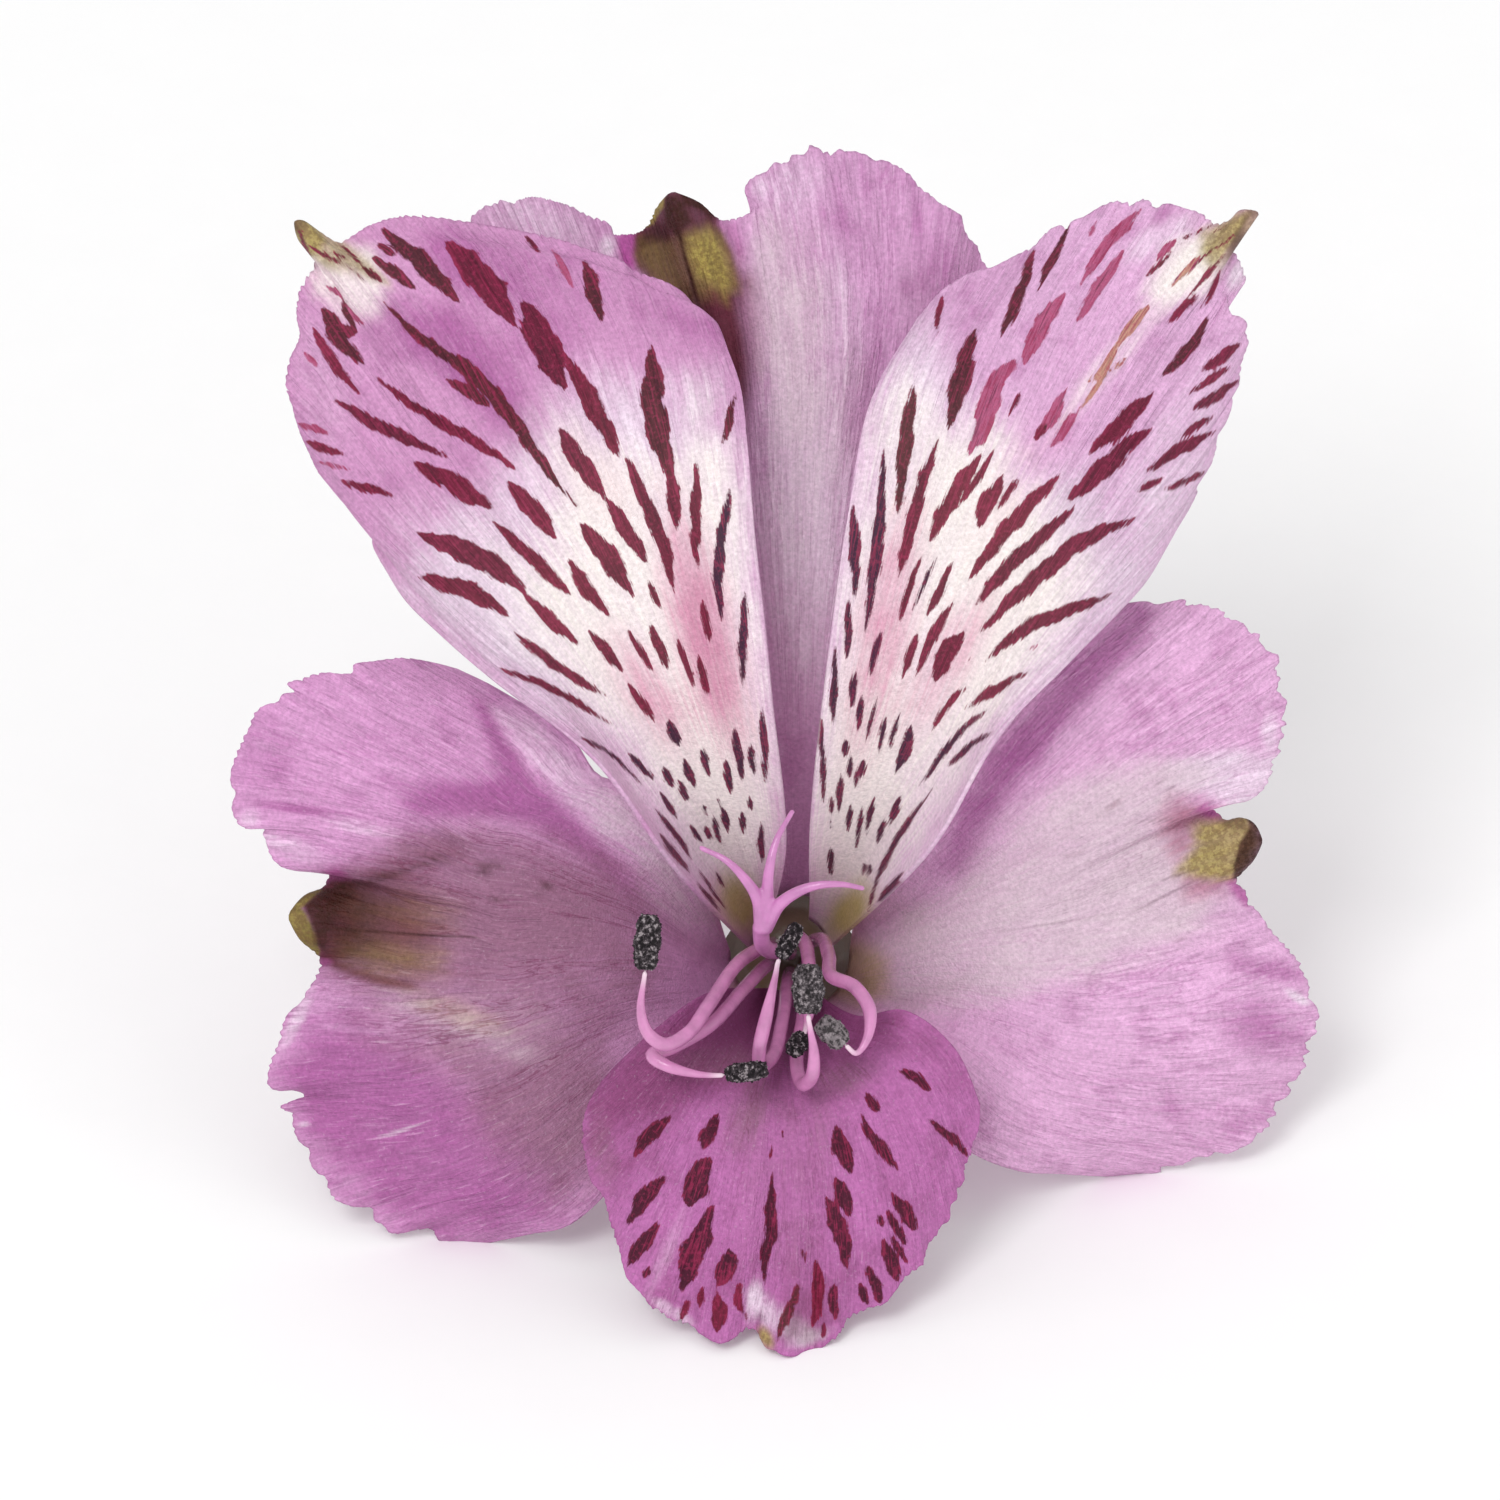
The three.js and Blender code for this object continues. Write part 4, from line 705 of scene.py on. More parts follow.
STYLE_TRUNK = [(0, 0, SEAT), (-0.4, 0.2, 8), (-1.4, 0.3, 18), (-1.85, 0.9, 23), (-1.9, 2.1, 26)]
STYLE_BRANCHES = [
    [(-1.9, 1.5, 25.2), (-2.1, 3.6, 27.1), (-2.9, 4.9, 27.9), (-4.1, 6.1, 28.1), (-5.9, 7, 27.6)],
    [(-1.8, 1.5, 25.2), (-1.5, 3.6, 26.9), (-1.4, 5.3, 27.6), (-0.9, 7.4, 27.7), (0.2, 9.4, 27)],
    [(-1.7, 1.5, 25.2), (-0.6, 3.4, 27.3), (1.2, 4.4, 28.1), (3.1, 4.6, 28.2), (4.8, 4.3, 27.5)],
]
# How each stem is made: radii at its foot and tip, where the taper starts, the points of its route,
# and the rings and sides of its skin.
FILAMENT = {"radii": (0.46, 0.15), "taper_from": 0.84, "points": 160, "rings": 150, "sides": 14}
TRUNK = {"radii": (0.5, 0.55), "taper_from": 0.2, "points": 80, "rings": 120, "sides": 24}
BRANCH = {"radii": (0.46, 0.18), "taper_from": 0.15, "points": 60, "rings": 80, "sides": 20}
NO_WHITE_TIP = 0.01 * MM  # too short to be seen
END_RADIUS = 0.004 * MM  # what is left of a stem's domed ends

OVARY_FOOT = -8.5
OVARY_PROFILE = [(1.6, -8.77), (2.7, -7), (3.4, -4.4), (3.9, -1.8), (4.45, 0.27)]  # radius, z
OVARY_RINGS, OVARY_SIDES = 48, 120
OVARY_RIBS = 6
OVARY_RIB_DEPTH = 0.09
# The throat's colour is olive brown, darkened partly as painted shade deep in the throat.
THROAT_FROM, THROAT_FULL = -1.6, -0.5  # heights between which the ovary takes the throat's colour
PEDICEL_RADIUS = 1.25
PEDICEL_NECK = 1.6
PEDICEL_BEND_RADIUS = 18.2
PEDICEL_LENGTH = 58
PEDICEL_CUT_SLANT = 0.9
PEDICEL_RINGS, PEDICEL_SIDES = 150, 36
PEDICEL_ARC_POINTS, PEDICEL_LEVEL_POINTS = 24, 60

# ------------------------------------------------------------------ textures
NOISE_SCALES = {"cloud": 420.0, "blotch": 2600.0, "tissue": 900.0, "crumbs": 3600.0, "floor": 220.0}
PETAL_CELL, STEM_CELL = 0.15 * MM, 0.12 * MM
# Fibres: how densely they stand across a tepal, and how often they change along it.
COARSE_FIBRES, FINE_FIBRES = (42.0, 8.0), (130.0, 18.0)

# ------------------------------------------------------------------ the stage
MIDDLE_OF_VIEW = (-2.6, 13.2, 15)  # in the bloom's frame
FLOOR_REACH = 4.0  # in metres, from its middle to each side
LAMPS = {  # in metres, from the middle of the view to the lamp, and the lamp's side
    "key": ((-0.35, -0.75, 1), 0.5),
    "fill": ((0.7, -0.9, 0.45), 0.8),
}
SENSOR = 36  # width in millimetres of the camera's sensor


# ------------------------------------------------------------------ colours and sizes as a user sees them
def paint(hexadecimal):
    """A screen colour such as cf93c9 as the linear red, green and blue that Blender holds."""
    parts = [int(hexadecimal[i:i + 2], 16) / 255 for i in (0, 2, 4)]
    return tuple(c / 12.92 if c <= 0.04045 else ((c + 0.055) / 1.055) ** 2.4 for c in parts)


def opaque(colour):
    return (*colour, 1.0)


def scaled(colour, amount):
    return tuple(amount * c for c in colour)


def between(a, b, share):
    """The colour at a share of the way from a to b."""
    return tuple(p + (q - p) * share for p, q in zip(a, b))


def colour_property(name, hexadecimal, description):
    return FloatVectorProperty(
        name=name, description=description, subtype="COLOR", size=3, min=0, max=1,
        default=paint(hexadecimal))


def length_property(name, millimetres, description):
    return FloatProperty(name=name, description=description, default=millimetres * MM, unit="LENGTH")


class FloretTepals(bpy.types.PropertyGroup):
    """Sizes of the tepals' fine forms."""

    thickness: length_property("Thickness", 0.3, "Thickness of a blade at its middle")
    edge_thickness: length_property("Edge thickness", 0.12, "Thickness at the margin")
    tooth_pitch: length_property("Tooth pitch", 0.55, "Spacing of the fine teeth along the margin")
    tooth_depth: length_property("Tooth depth", 0.27, "Depth of the fine teeth")
    pleat_depth: length_property("Pleat depth", 0.09, "Height of the pleats that fan out along the veins")
    frill_depth: length_property("Frill depth", 0.35, "Height of the small waves along the margin")


class FloretColours(bpy.types.PropertyGroup):
    """Colours of the living tissues, some of them laid on as painted light and shade."""

    outer_left: colour_property("Outer left", "cf95c3", "Lilac of the left outer tepal")
    outer_right: colour_property("Outer right", "dcaad1", "Paler lilac of the right outer tepal")
    outer_top: colour_property("Outer top", "cb97c0", "Lilac of the top outer tepal")
    inner_left: colour_property("Inner left", "cd93bf", "Lilac of the upper left inner tepal")
    inner_right: colour_property("Inner right", "dbaad1", "Lilac of the upper right inner tepal")
    lower: colour_property("Lower tepal", "b86ca8", "Deeper lilac of the lower inner tepal")
    # Deep lilac is partly painted shade: beside folds, under the edges of neighbouring tepals and towards
    # the throat.
    deep: colour_property("Deep lilac", "a65d97", "Stronger tone beside folds and edges")
    # The lower tepal's shoulders are also darkened as painted shade towards the throat and under the
    # filaments.
    deep_lower: colour_property("Lower shoulders", "8a4574", "Purple shoulders of the lower tepal")
    # Mauve is mostly painted shade, on bands that lie in shadow and at the claws.
    mauve: colour_property("Mauve", "946680", "Greyed tone of shaded bands")
    cream: colour_property("Cream", "f1e8e4", "Warm pale ground between the streaks")
    pale_outer: colour_property("Pale band", "d2bcc8", "Greyish band along the outer midribs")
    # Pale lilac is partly painted light: glints, lit ridges, and shade near the throat made lighter.
    pale: colour_property("Pale lilac", "e9d6e6", "Almost white lilac of thin edges and ridges")
    blush: colour_property("Blush", "d388aa", "Pink blush towards the throat")
    magenta: colour_property("Magenta", "a8408f", "Stronger spots beside the horned tips")
    maroon: colour_property("Maroon", "602434", "Purple red round the horned tips")
    olive: colour_property("Olive", "a8974f", "Green of the horned tips and the claws")
    umber: colour_property("Umber", "38180f", "Dark brown of the horned tips")
    ink: colour_property("Ink", "33082e", "Streaks near the throat")
    plum: colour_property("Plum", "470821", "Streaks of the lower tepal")
    wine: colour_property("Wine", "650c2b", "Most of the streaks")
    crimson: colour_property("Crimson", "6e0f2d", "Brighter streaks")
    flare: colour_property("Flare", "8c1f45", "Bright strands within the streaks")
    rust: colour_property("Rust", "50191f", "Drab streaks near the top")
    rose: colour_property("Rose", "b2567d", "Faint streaks")
    tan: colour_property("Tan", "c08d7a", "Brownish streaks along the midrib")
    filament: colour_property("Filament", "cd84b6", "Filaments of the stamens")
    filament_tip: colour_property("Filament tip", "ecd3e0", "Narrow end of a filament")
    style: colour_property("Style", "c87fb8", "Style and its branches")
    anther: colour_property("Anther", "241a22", "Dark pollen")
    anther_open: colour_property("Open anther", "a3999d", "Pale pollen sac")
    ovary: colour_property("Ovary", "7d994e", "Ribbed ovary below the bloom")
    # The throat colour is partly painted shade deep in the throat.
    throat: colour_property("Throat", "5c4836", "Top of the ovary, deep in the throat")
    pedicel: colour_property("Pedicel", "6b9146", "Stalk")
    pith: colour_property("Pith", "c9d3a4", "Core of the stalk at its cut")


class FloretStamens(bpy.types.PropertyGroup):
    """Sizes of the stamens and the style."""

    white_tip: length_property("White tip", 1.5, "Length of the narrow white end of a filament")
    grain: length_property("Pollen grain", 0.085, "Radius of a pollen grain")
    grain_spacing: length_property("Grain spacing", 0.16, "Least distance between grains")
    seed: IntProperty(name="Seed", description="Draw of the grains' places", default=7)
    style_voxel: length_property("Style resolution", 0.1, "Size of the voxels that fuse the branches")


class FloretStage(bpy.types.PropertyGroup):
    """The surface, the lamps and the camera."""

    floor: colour_property("Floor", "fdfdfd", "Pale surface")
    distance: length_property("Camera distance", 2000, "From the camera to the middle of the bloom")
    width: length_property("Width in view", 96.8, "Width of what the camera frames")
    sky: FloatProperty(name="Sky", description="Strength of the light from all round", default=0.78)
    key: FloatProperty(name="Key lamp", description="Power of the large lamp", default=5.9, unit="POWER")
    fill: FloatProperty(name="Fill lamp", description="Power of the second lamp", default=1.4, unit="POWER")


# ------------------------------------------------------------------ curves and places
def pairs(numbers):
    """Numbers that are x and y in turn, as points."""
    return np.array(numbers, float).reshape(-1, 2)


def catmull_rom(points, where):
    """Places on the centripetal curve through points, at where, counted in its own points."""
    own = np.asarray(points, float)
    ends = np.vstack([2 * own[0] - own[1], own, 2 * own[-1] - own[-2]])
    at = np.clip(np.asarray(where, float), 0, len(own) - 1)
    i = np.minimum(at.astype(int), len(own) - 2)
    u = (at - i)[:, None]
    a, b, c, d = (ends[i + k] for k in range(4))
    ab, bc, cd = (np.sqrt(np.linalg.norm(q - p, axis=1))[:, None] for p, q in ((a, b), (b, c), (c, d)))
    leaving = ((b - a) / ab - (c - a) / (ab + bc) + (c - b) / bc) * bc
    arriving = ((c - b) / bc - (d - b) / (bc + cd) + (d - c) / cd) * bc
    return ((2 * u**3 - 3 * u**2 + 1) * b + (u**3 - 2 * u**2 + u) * leaving
            + (3 * u**2 - 2 * u**3) * c + (u**3 - u**2) * arriving)


def length_along(line):
    """How far along a line of points each of them lies."""
    return np.concatenate([[0], np.cumsum(np.linalg.norm(np.diff(line, axis=0), axis=1))])


def along(points, fractions):
    """Places on the curve through points, at fractions of its length."""
    where = np.linspace(0, len(points) - 1, 60 * len(points))
    run = length_along(catmull_rom(points, where))
    return catmull_rom(points, np.interp(np.asarray(fractions) * run[-1], run, where))


def on_ring(radius, degrees):
    angle = np.radians(degrees)
    return np.stack([radius * np.cos(angle), radius * np.sin(angle)], axis=-1)


def smoothstep(value, low, high):
    x = np.clip((value - low) / (high - low), 0, 1)
    return x * x * (3 - 2 * x)


def direction(start, end):
    """The way from start to end, of length 1."""
    way = np.array(end, float) - np.array(start, float)
    return way / np.linalg.norm(way)


def place(points):
    """Points of the bloom's frame in millimetres, laid down, in metres, on or above the surface."""
    flat = np.asarray(points, float).reshape(-1, 3)
    laid = flat @ np.array(LAID_DOWN.to_3x3()).T + np.array(LAID_DOWN.translation)
    laid[:, 2] = np.maximum(laid[:, 2], 0)
    return laid.reshape(np.shape(points)) * MM


# ------------------------------------------------------------------ meshes
def mesh_object(name, vertices, faces, material=None, attributes=None, links=()):
    """A smooth mesh at the origin, with its point attributes."""
    mesh = bpy.data.meshes.new(name)
    mesh.from_pydata(np.asarray(vertices).reshape(-1, 3).tolist(), links, faces)
    mesh.update()
    mesh.shade_smooth()
    for key, values in (attributes or {}).items():
        values = np.asarray(values, np.float32)
        kind, field = ("FLOAT_VECTOR", "vector") if values.ndim == 2 else ("FLOAT", "value")
        mesh.attributes.new(key, kind, "POINT").data.foreach_set(field, values.ravel())
    if material:
        mesh.materials.append(material)
    obj = bpy.data.objects.new(name, mesh)
    bpy.context.scene.collection.objects.link(obj)
    return obj


def apply_modifiers(obj, name):
    """Gives obj, under its name, the plain mesh that its modifiers make."""
    depsgraph = bpy.context.evaluated_depsgraph_get()
    made = bpy.data.meshes.new_from_object(obj.evaluated_get(depsgraph), depsgraph=depsgraph)
    plain = obj.data
    obj.modifiers.clear()
    obj.data = made
    bpy.data.meshes.remove(plain)
    obj.name = made.name = name


def blade_faces(across, rows):
    """Quads of two grids of points, the front one first, closed all round by a rim."""
    count = across * rows
    i, j = np.meshgrid(np.arange(across - 1), np.arange(rows - 1), indexing="ij")
    a = (i * rows + j).ravel()
    front = np.stack([a, a + 1, a + rows + 1, a + rows], axis=1)
    back = front[:, ::-1] + count
    edge = np.concatenate([
        np.arange(rows - 1),
        np.arange(across - 1) * rows + rows - 1,
        (across - 1) * rows + np.arange(rows - 1, 0, -1),
        np.arange(across - 1, 0, -1) * rows,
    ])
    following = np.roll(edge, -1)
    rim = np.stack([following, edge, edge + count, following + count], axis=1)
    return np.vstack([front, back, rim]).tolist()


def tube_faces(rings, sides):
    """Quads between rings that wind anticlockwise seen from the far end, and a fan at each pole."""
    faces = []
    for i in range(rings - 1):
        for j in range(sides):
            a, b = i * sides + j, i * sides + (j + 1) % sides
            faces.append((a, b, b + sides, a + sides))
    near, far = rings * sides, rings * sides + 1
    last = (rings - 1) * sides
    for j in range(sides):
        following = (j + 1) % sides
        faces.append((near, following, j))
        faces.append((far, last + j, last + following))
    return faces


def around(sides):
    """The angles of a ring's points, as one row."""
    return np.linspace(0, 2 * np.pi, sides, endpoint=False)[None]


def finish_piece(obj, slot, *nodes):
    """The piece moves with the floret and stands for its CAD nodes; slot is not used."""
    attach(obj, "root")
    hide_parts(*nodes)


# ------------------------------------------------------------------ the tepals' form
def zigzag(run, pitch, depth, seed):
    """Uneven teeth along a margin, as a shift outwards at each length of run."""
    draw = np.random.RandomState(seed)
    count = int(run[-1] / pitch) * 2 + 2
    knots = (np.arange(count) + draw.uniform(-0.4, 0.4, count)) * pitch / 2
    stretch = 0.6 + 0.5 * np.sin(knots * 0.9 + draw.uniform(0, 6))
    heights = np.where(np.arange(count) % 2, 0.4, -0.6) * depth * draw.uniform(0.2, 1.3, count) * stretch
    return np.interp(run, knots, heights)


def smoothed(line, reach):
    """A line of points with its jags evened out over a reach of so many points."""
    weights = np.hanning(2 * reach + 3)[1:-1]
    before = 2 * line[0] - line[reach:0:-1]
    after = 2 * line[-1] - line[-2:-reach - 2:-1]
    longer = np.vstack([before, line, after])
    columns = [np.convolve(longer[:, k], weights / weights.sum(), "valid") for k in (0, 1)]
    return np.stack(columns, axis=1)


def face_patch(tepal, radius, s, t, settings):
    """Where the blade lies across the face, for each s across and t along, as (s, t, 2)."""
    side_a, margin_a, margin_b, side_b = (
        pairs(tepal[key]) for key in ("side_a", "margin_a", "margin_b", "side_b"))
    start_a, start_b = on_ring(radius, np.array(tepal["ring"]))
    edge_a = [side_a[-1], *margin_a, tepal["tip"]]
    edge_b = [tepal["tip"], *margin_b, side_b[-1]]
    side_a = along([start_a, *side_a], t)
    side_b = along([start_b, *side_b], t)

    def margin_at(where):
        left = where < 0
        return np.where(left[:, None], along(edge_a, np.where(left, where + 1, 1)),
                        along(edge_b, np.where(left, 0, where)))

    # The patch follows a rounded margin. The real one takes over towards it, its jags last.
    margin = margin_at(s)
    calm = smoothed(margin, 9)
    rounded = catmull_rom(margin_at(np.array([-1, -0.5, 0, 0.5, 1])), (s + 1) * 2)
    claw = on_ring(radius, np.interp(s, [-1, 1], tepal["ring"]))
    u = ((s + 1) / 2)[:, None, None]
    v = t[None, :, None]
    patch = ((1 - u) * side_a[None] + u * side_b[None]
             + (1 - v) * claw[:, None] + v * rounded[:, None]
             - (1 - u) * (1 - v) * side_a[0] - u * (1 - v) * side_b[0]
             - (1 - u) * v * side_a[-1] - u * v * side_b[-1]
             + (calm - rounded)[:, None] * v**5 + (margin - calm)[:, None] * v**16)
    outwards = calm - patch[:, np.searchsorted(t, 0.85)]
    outwards /= np.linalg.norm(outwards, axis=1)[:, None]
    run = length_along(margin)
    pitch, depth = settings.tooth_pitch / MM, settings.tooth_depth / MM
    teeth = zigzag(run, pitch, depth, tepal["seed"])
    teeth += zigzag(run, pitch * 0.37, depth * 0.4, tepal["seed"] + 50)
    teeth *= smoothstep(1 - np.abs(s), 0, 0.15) * smoothstep(np.abs(s), 0.03, 0.1)
    return patch + (outwards * teeth[:, None])[:, None] * v**40


def bell(value, width):
    return np.exp(-((value / width) ** 2))


def horn_at(form, s, t):
    return bell(s, form["horn_width"]) * smoothstep(t, form["horn_from"], 1)


def depth_at(form, s, t):
    """How far forward the blade stands: it climbs steeply out of the throat and then spreads."""
    climb = (1 - np.exp(-form["bend"] * t)) / (1 - np.exp(-form["bend"]))
    return (SEAT + BLADE / 2 + form["rise"] * climb - form["recurve"] * t**3
            + form["twist"] * s * t**2
            + form["cup"] * s**2 * np.sin(np.pi * t)
            + form["lip"] * s**2 * t**3
            + form["ruffle"] * np.sin(form["waves"] * s + form["phase"]) * t**5
            - form["crease"] * bell(s, form["crease_width"]) * t**2
            + form["horn"] * horn_at(form, s, t))


def rows_along(count):
    """Rows from the claw to the margin, closest together at the margin where its teeth are."""
    rim_rows, rim_from = 14, 0.94
    body = rim_from * np.linspace(0, 1, count - rim_rows) ** 1.1
    return np.concatenate([body, rim_from + (1 - rim_from) * np.linspace(0, 1, rim_rows + 1)[1:]])


def folds_at(folds, s, t):
    """Ridges and grooves that run along the veins, each at its own place across."""
    height = np.zeros_like(s * t)
    for where, width, rise in folds:
        height += rise * bell(s - where, width) * smoothstep(t, 0.3, 0.8)
    return height


def relief_at(s, t, settings, seed):
    """Pleats that fan out along the veins, and small waves along the margin, in millimetres."""
    draw = np.random.RandomState(seed)
    pleats = np.zeros_like(s * t)
    for count in (23, 37, 61, 88):
        wobble = draw.uniform(0.5, 1.5) * np.sin(draw.uniform(2, 5) * t + draw.uniform(0, 6))
        pleats += np.sin(count * s + wobble + draw.uniform(0, 6)) * 23 / count
    frill = np.zeros_like(pleats)
    for count in (13, 21, 34):
        frill += np.sin(count * s + draw.uniform(0, 6)) * 13 / count
    return (settings.pleat_depth / MM * pleats * t**1.5 * smoothstep(1 - t, -0.3, 0.3)
            + settings.frill_depth / MM * frill * t**9)


def tepal_grid(tepal, radius, settings):
    """The blade's middle surface, normals and half thickness, with s and t of each point."""
    across, rows = tepal["grid"]
    form, seed = tepal["form"], tepal["seed"]
    u = np.linspace(-1, 1, across)
    s = np.sign(u) * np.abs(u) ** 1.15
    t = rows_along(rows)
    patch = face_patch(tepal, radius, s, t, settings)
    s, t = np.meshgrid(s, t, indexing="ij")
    depth = depth_at(form, s, t) + relief_at(s, t, settings, seed + 1)
    depth += folds_at(tepal["folds"], s, t)
    middle = np.concatenate([patch, depth[..., None]], axis=2)
    normal = np.cross(np.gradient(middle, axis=1), np.gradient(middle, axis=0))
    normal /= np.linalg.norm(normal, axis=2)[..., None]
    thin = settings.edge_thickness / settings.thickness
    half = settings.thickness / MM / 2 * (thin + (1 - thin) * smoothstep(1 - t, 0, 0.12))
    half += form["horn_thickness"] * horn_at(form, s, t) / 2
    return middle, normal, half, s, t


# ------------------------------------------------------------------ the tepals' markings
def nearest_on_spine(spine, points):
    """For each point, the gap to the spine, the nearest stretch of it and how far along that is."""
    a, b = spine[:-1], spine[1:]
    reach = ((points[:, None] - a) * (b - a)).sum(2) / ((b - a) ** 2).sum(1)
    reach = np.clip(reach, 0, 1)
    gap = np.linalg.norm(points[:, None] - a - reach[..., None] * (b - a), axis=2)
    closest = gap.argmin(axis=1)
    row = np.arange(len(points))
    return gap[row, closest], closest, reach[row, closest]


def streak_depth(width, numbers, points):
    """The points near one streak, and how far inside it they lie, in millimetres."""
    spine = along(pairs(numbers), np.linspace(0, 1, SPINE_POINTS))
    low, high = spine.min(0) - STREAK_REACH, spine.max(0) + STREAK_REACH
    near = np.flatnonzero(((points > low) & (points < high)).all(axis=1))
    gap, closest, reach = nearest_on_spine(spine, points[near])
    way = (closest + reach) / (len(spine) - 1)
    swell = np.sin(np.pi * np.clip(way, 0, 1)) ** 0.66
    away = points[near] - spine[:-1][closest]
    ahead = (spine[1:] - spine[:-1])[closest]
    side = np.sign(away[:, 0] * ahead[:, 1] - away[:, 1] * ahead[:, 0])
    run = way * np.linalg.norm(np.diff(spine, axis=0), axis=1).sum()
    wander = 0.12 * np.sin(2.3 * run + 9 * width + 2 * side)
    wander += 0.08 * np.sin(4.7 * run + 4 * side + spine[0, 0])
    return near, width / 2 * (1.46 * swell * (1 + wander) - 0.12) - gap


def streak_field(streaks, points):
    """How far inside the nearest streak each point of the face lies, in millimetres, and its tone."""
    inside = np.full(len(points), -1.0)
    tone = np.zeros(len(points))
    for index, kind in enumerate(STREAK_TONES):
        for width, *numbers in streaks.get(kind, []):
            near, depth = streak_depth(width, numbers, points)
            better = depth > inside[near]
            inside[near[better]] = depth[better]
            tone[near[better]] = index / (len(STREAK_TONES) - 1)
    return inside, tone


def patch_mask(patches, points):
    """How strongly each point of the face lies in any of the soft patches."""
    bare = np.ones(len(points))
    for x, y, length, width, turn, strength in patches:
        angle = math.radians(turn)
        away = points - (x, y)
        lengthwise = (away @ (math.cos(angle), math.sin(angle))) / length
        sidewise = (away @ (-math.sin(angle), math.cos(angle))) / width
        far = np.hypot(lengthwise, sidewise)
        bare *= 1 - strength * (1 - smoothstep(far, 0.25, 1.35))
    return 1 - bare


def area_mask(areas, points):
    """How strongly each point of the face lies in any of the areas given by their corners."""
    bare = np.ones(len(points))
    for softness, strength, *numbers in areas:
        corners = pairs(numbers)
        near = np.flatnonzero(((points > corners.min(0) - softness)
                               & (points < corners.max(0) + softness)).all(axis=1))
        x, y = points[near].T
        crossings = np.zeros(len(near), int)
        gap = np.full(len(near), np.inf)
        for a, b in zip(corners, np.roll(corners, -1, axis=0)):
            reach = np.clip(((points[near] - a) @ (b - a)) / ((b - a) @ (b - a)), 0, 1)
            gap = np.minimum(gap, np.linalg.norm(points[near] - a - reach[:, None] * (b - a), axis=1))
            if a[1] != b[1]:
                level = (a[1] > y) != (b[1] > y)
                crossings += level & (x < a[0] + (y - a[1]) * (b[0] - a[0]) / (b[1] - a[1]))
        depth = np.where(crossings % 2, gap, -gap)
        bare[near] *= 1 - strength * smoothstep(depth, -softness, softness)
    return 1 - bare


def build_tepal(name, material, slot, settings):
    tepal = TEPALS[name]
    radius = INNER_RING if name.startswith("inner") else OUTER_RING
    middle, normal, half, s, t = tepal_grid(tepal, radius, settings)
    face = middle[..., :2].reshape(-1, 2)
    front = middle + normal * half[..., None]
    back = middle - normal * half[..., None]
    attributes = {"vein": np.stack([s.ravel(), t.ravel(), np.full(s.size, tepal["seed"])], axis=1)}
    for kind in PATCH_KINDS:
        patches = patch_mask(PATCHES[name].get(kind, []), face)
        areas = area_mask(AREAS[name].get(kind, []), face)
        attributes[kind] = 1 - (1 - patches) * (1 - areas)
    if name in STREAKS:
        attributes["streak"], attributes["tone"] = streak_field(STREAKS[name], face)
    doubled = {key: np.concatenate([values, values]) for key, values in attributes.items()}
    forwards = float(normal[..., 2].mean() > 0)
    doubled["front"] = np.repeat([forwards, 1 - forwards], s.size)
    obj = mesh_object(name + "_blade", np.stack([place(front), place(back)]),
                      blade_faces(*tepal["grid"]), material, doubled)
    finish_piece(obj, slot, name)


# ------------------------------------------------------------------ node trees
def add_node(tree, kind, inputs=None, **settings):
    """Adds a node. inputs maps a socket's name or number to a value or to another node's output."""
    node = tree.nodes.new(kind)
    for key, value in settings.items():
        setattr(node, key, value)
    for key, value in (inputs or {}).items():
        if isinstance(value, bpy.types.NodeSocket):
            tree.links.new(value, node.inputs[key])
        else:
            node.inputs[key].default_value = value
    return node


def calculate(tree, operation, a, b=0.0, clamp=False):
    return add_node(tree, "ShaderNodeMath", {0: a, 1: b}, operation=operation, use_clamp=clamp).outputs[0]


def product(tree, first, *others):
    for other in others:
        first = calculate(tree, "MULTIPLY", first, other)
    return first


def added(tree, a, b):
    return calculate(tree, "ADD", a, b)


def without(tree, a, b):
    """a less b."""
    return calculate(tree, "SUBTRACT", a, b)


def rescaled(tree, value, to_low, to_high, low=0.0, high=1.0, smooth=False):
    """value on a new scale, on which low becomes to_low and high becomes to_high."""
    return add_node(tree, "ShaderNodeMapRange", {0: value, 1: low, 2: high, 3: to_low, 4: to_high},
                    interpolation_type="SMOOTHSTEP" if smooth else "LINEAR").outputs[0]


def stepped(tree, value, low, high):
    """0 below low, 1 above high and a soft step between."""
    return rescaled(tree, value, 0.0, 1.0, low, high, smooth=True)


def noise(tree, where, scale, detail, roughness=0.5, distortion=0.0):
    return add_node(tree, "ShaderNodeTexNoise", {
        "Vector": where, "Scale": scale, "Detail": detail, "Roughness": roughness,
        "Distortion": distortion}).outputs[0]


def object_place(tree):
    return add_node(tree, "ShaderNodeTexCoord").outputs["Object"]


def blend_colour(tree, factor, a, b, kind="MIX"):
    """Blender's colour mix of a and b, which are colours or sockets."""
    a, b = (c if isinstance(c, bpy.types.NodeSocket) else opaque(c) for c in (a, b))
    node = add_node(tree, "ShaderNodeMix", {0: factor, 6: a, 7: b}, data_type="RGBA", blend_type=kind)
    return node.outputs[2]


def read_attribute(tree, name, output="Fac"):
    return add_node(tree, "ShaderNodeAttribute", attribute_name=name).outputs[output]


def new_group(name, kind, inputs, outputs):
    """A node group with named sockets, and its input and output nodes."""
    group = bpy.data.node_groups.new(name, kind)
    for key, (socket, value) in inputs.items():
        made = group.interface.new_socket(name=key, in_out="INPUT", socket_type=socket)
        if value is not None:
            made.default_value = value
    for key, socket in outputs.items():
        group.interface.new_socket(name=key, in_out="OUTPUT", socket_type=socket)
    return group, group.nodes.new("NodeGroupInput").outputs, group.nodes.new("NodeGroupOutput").inputs


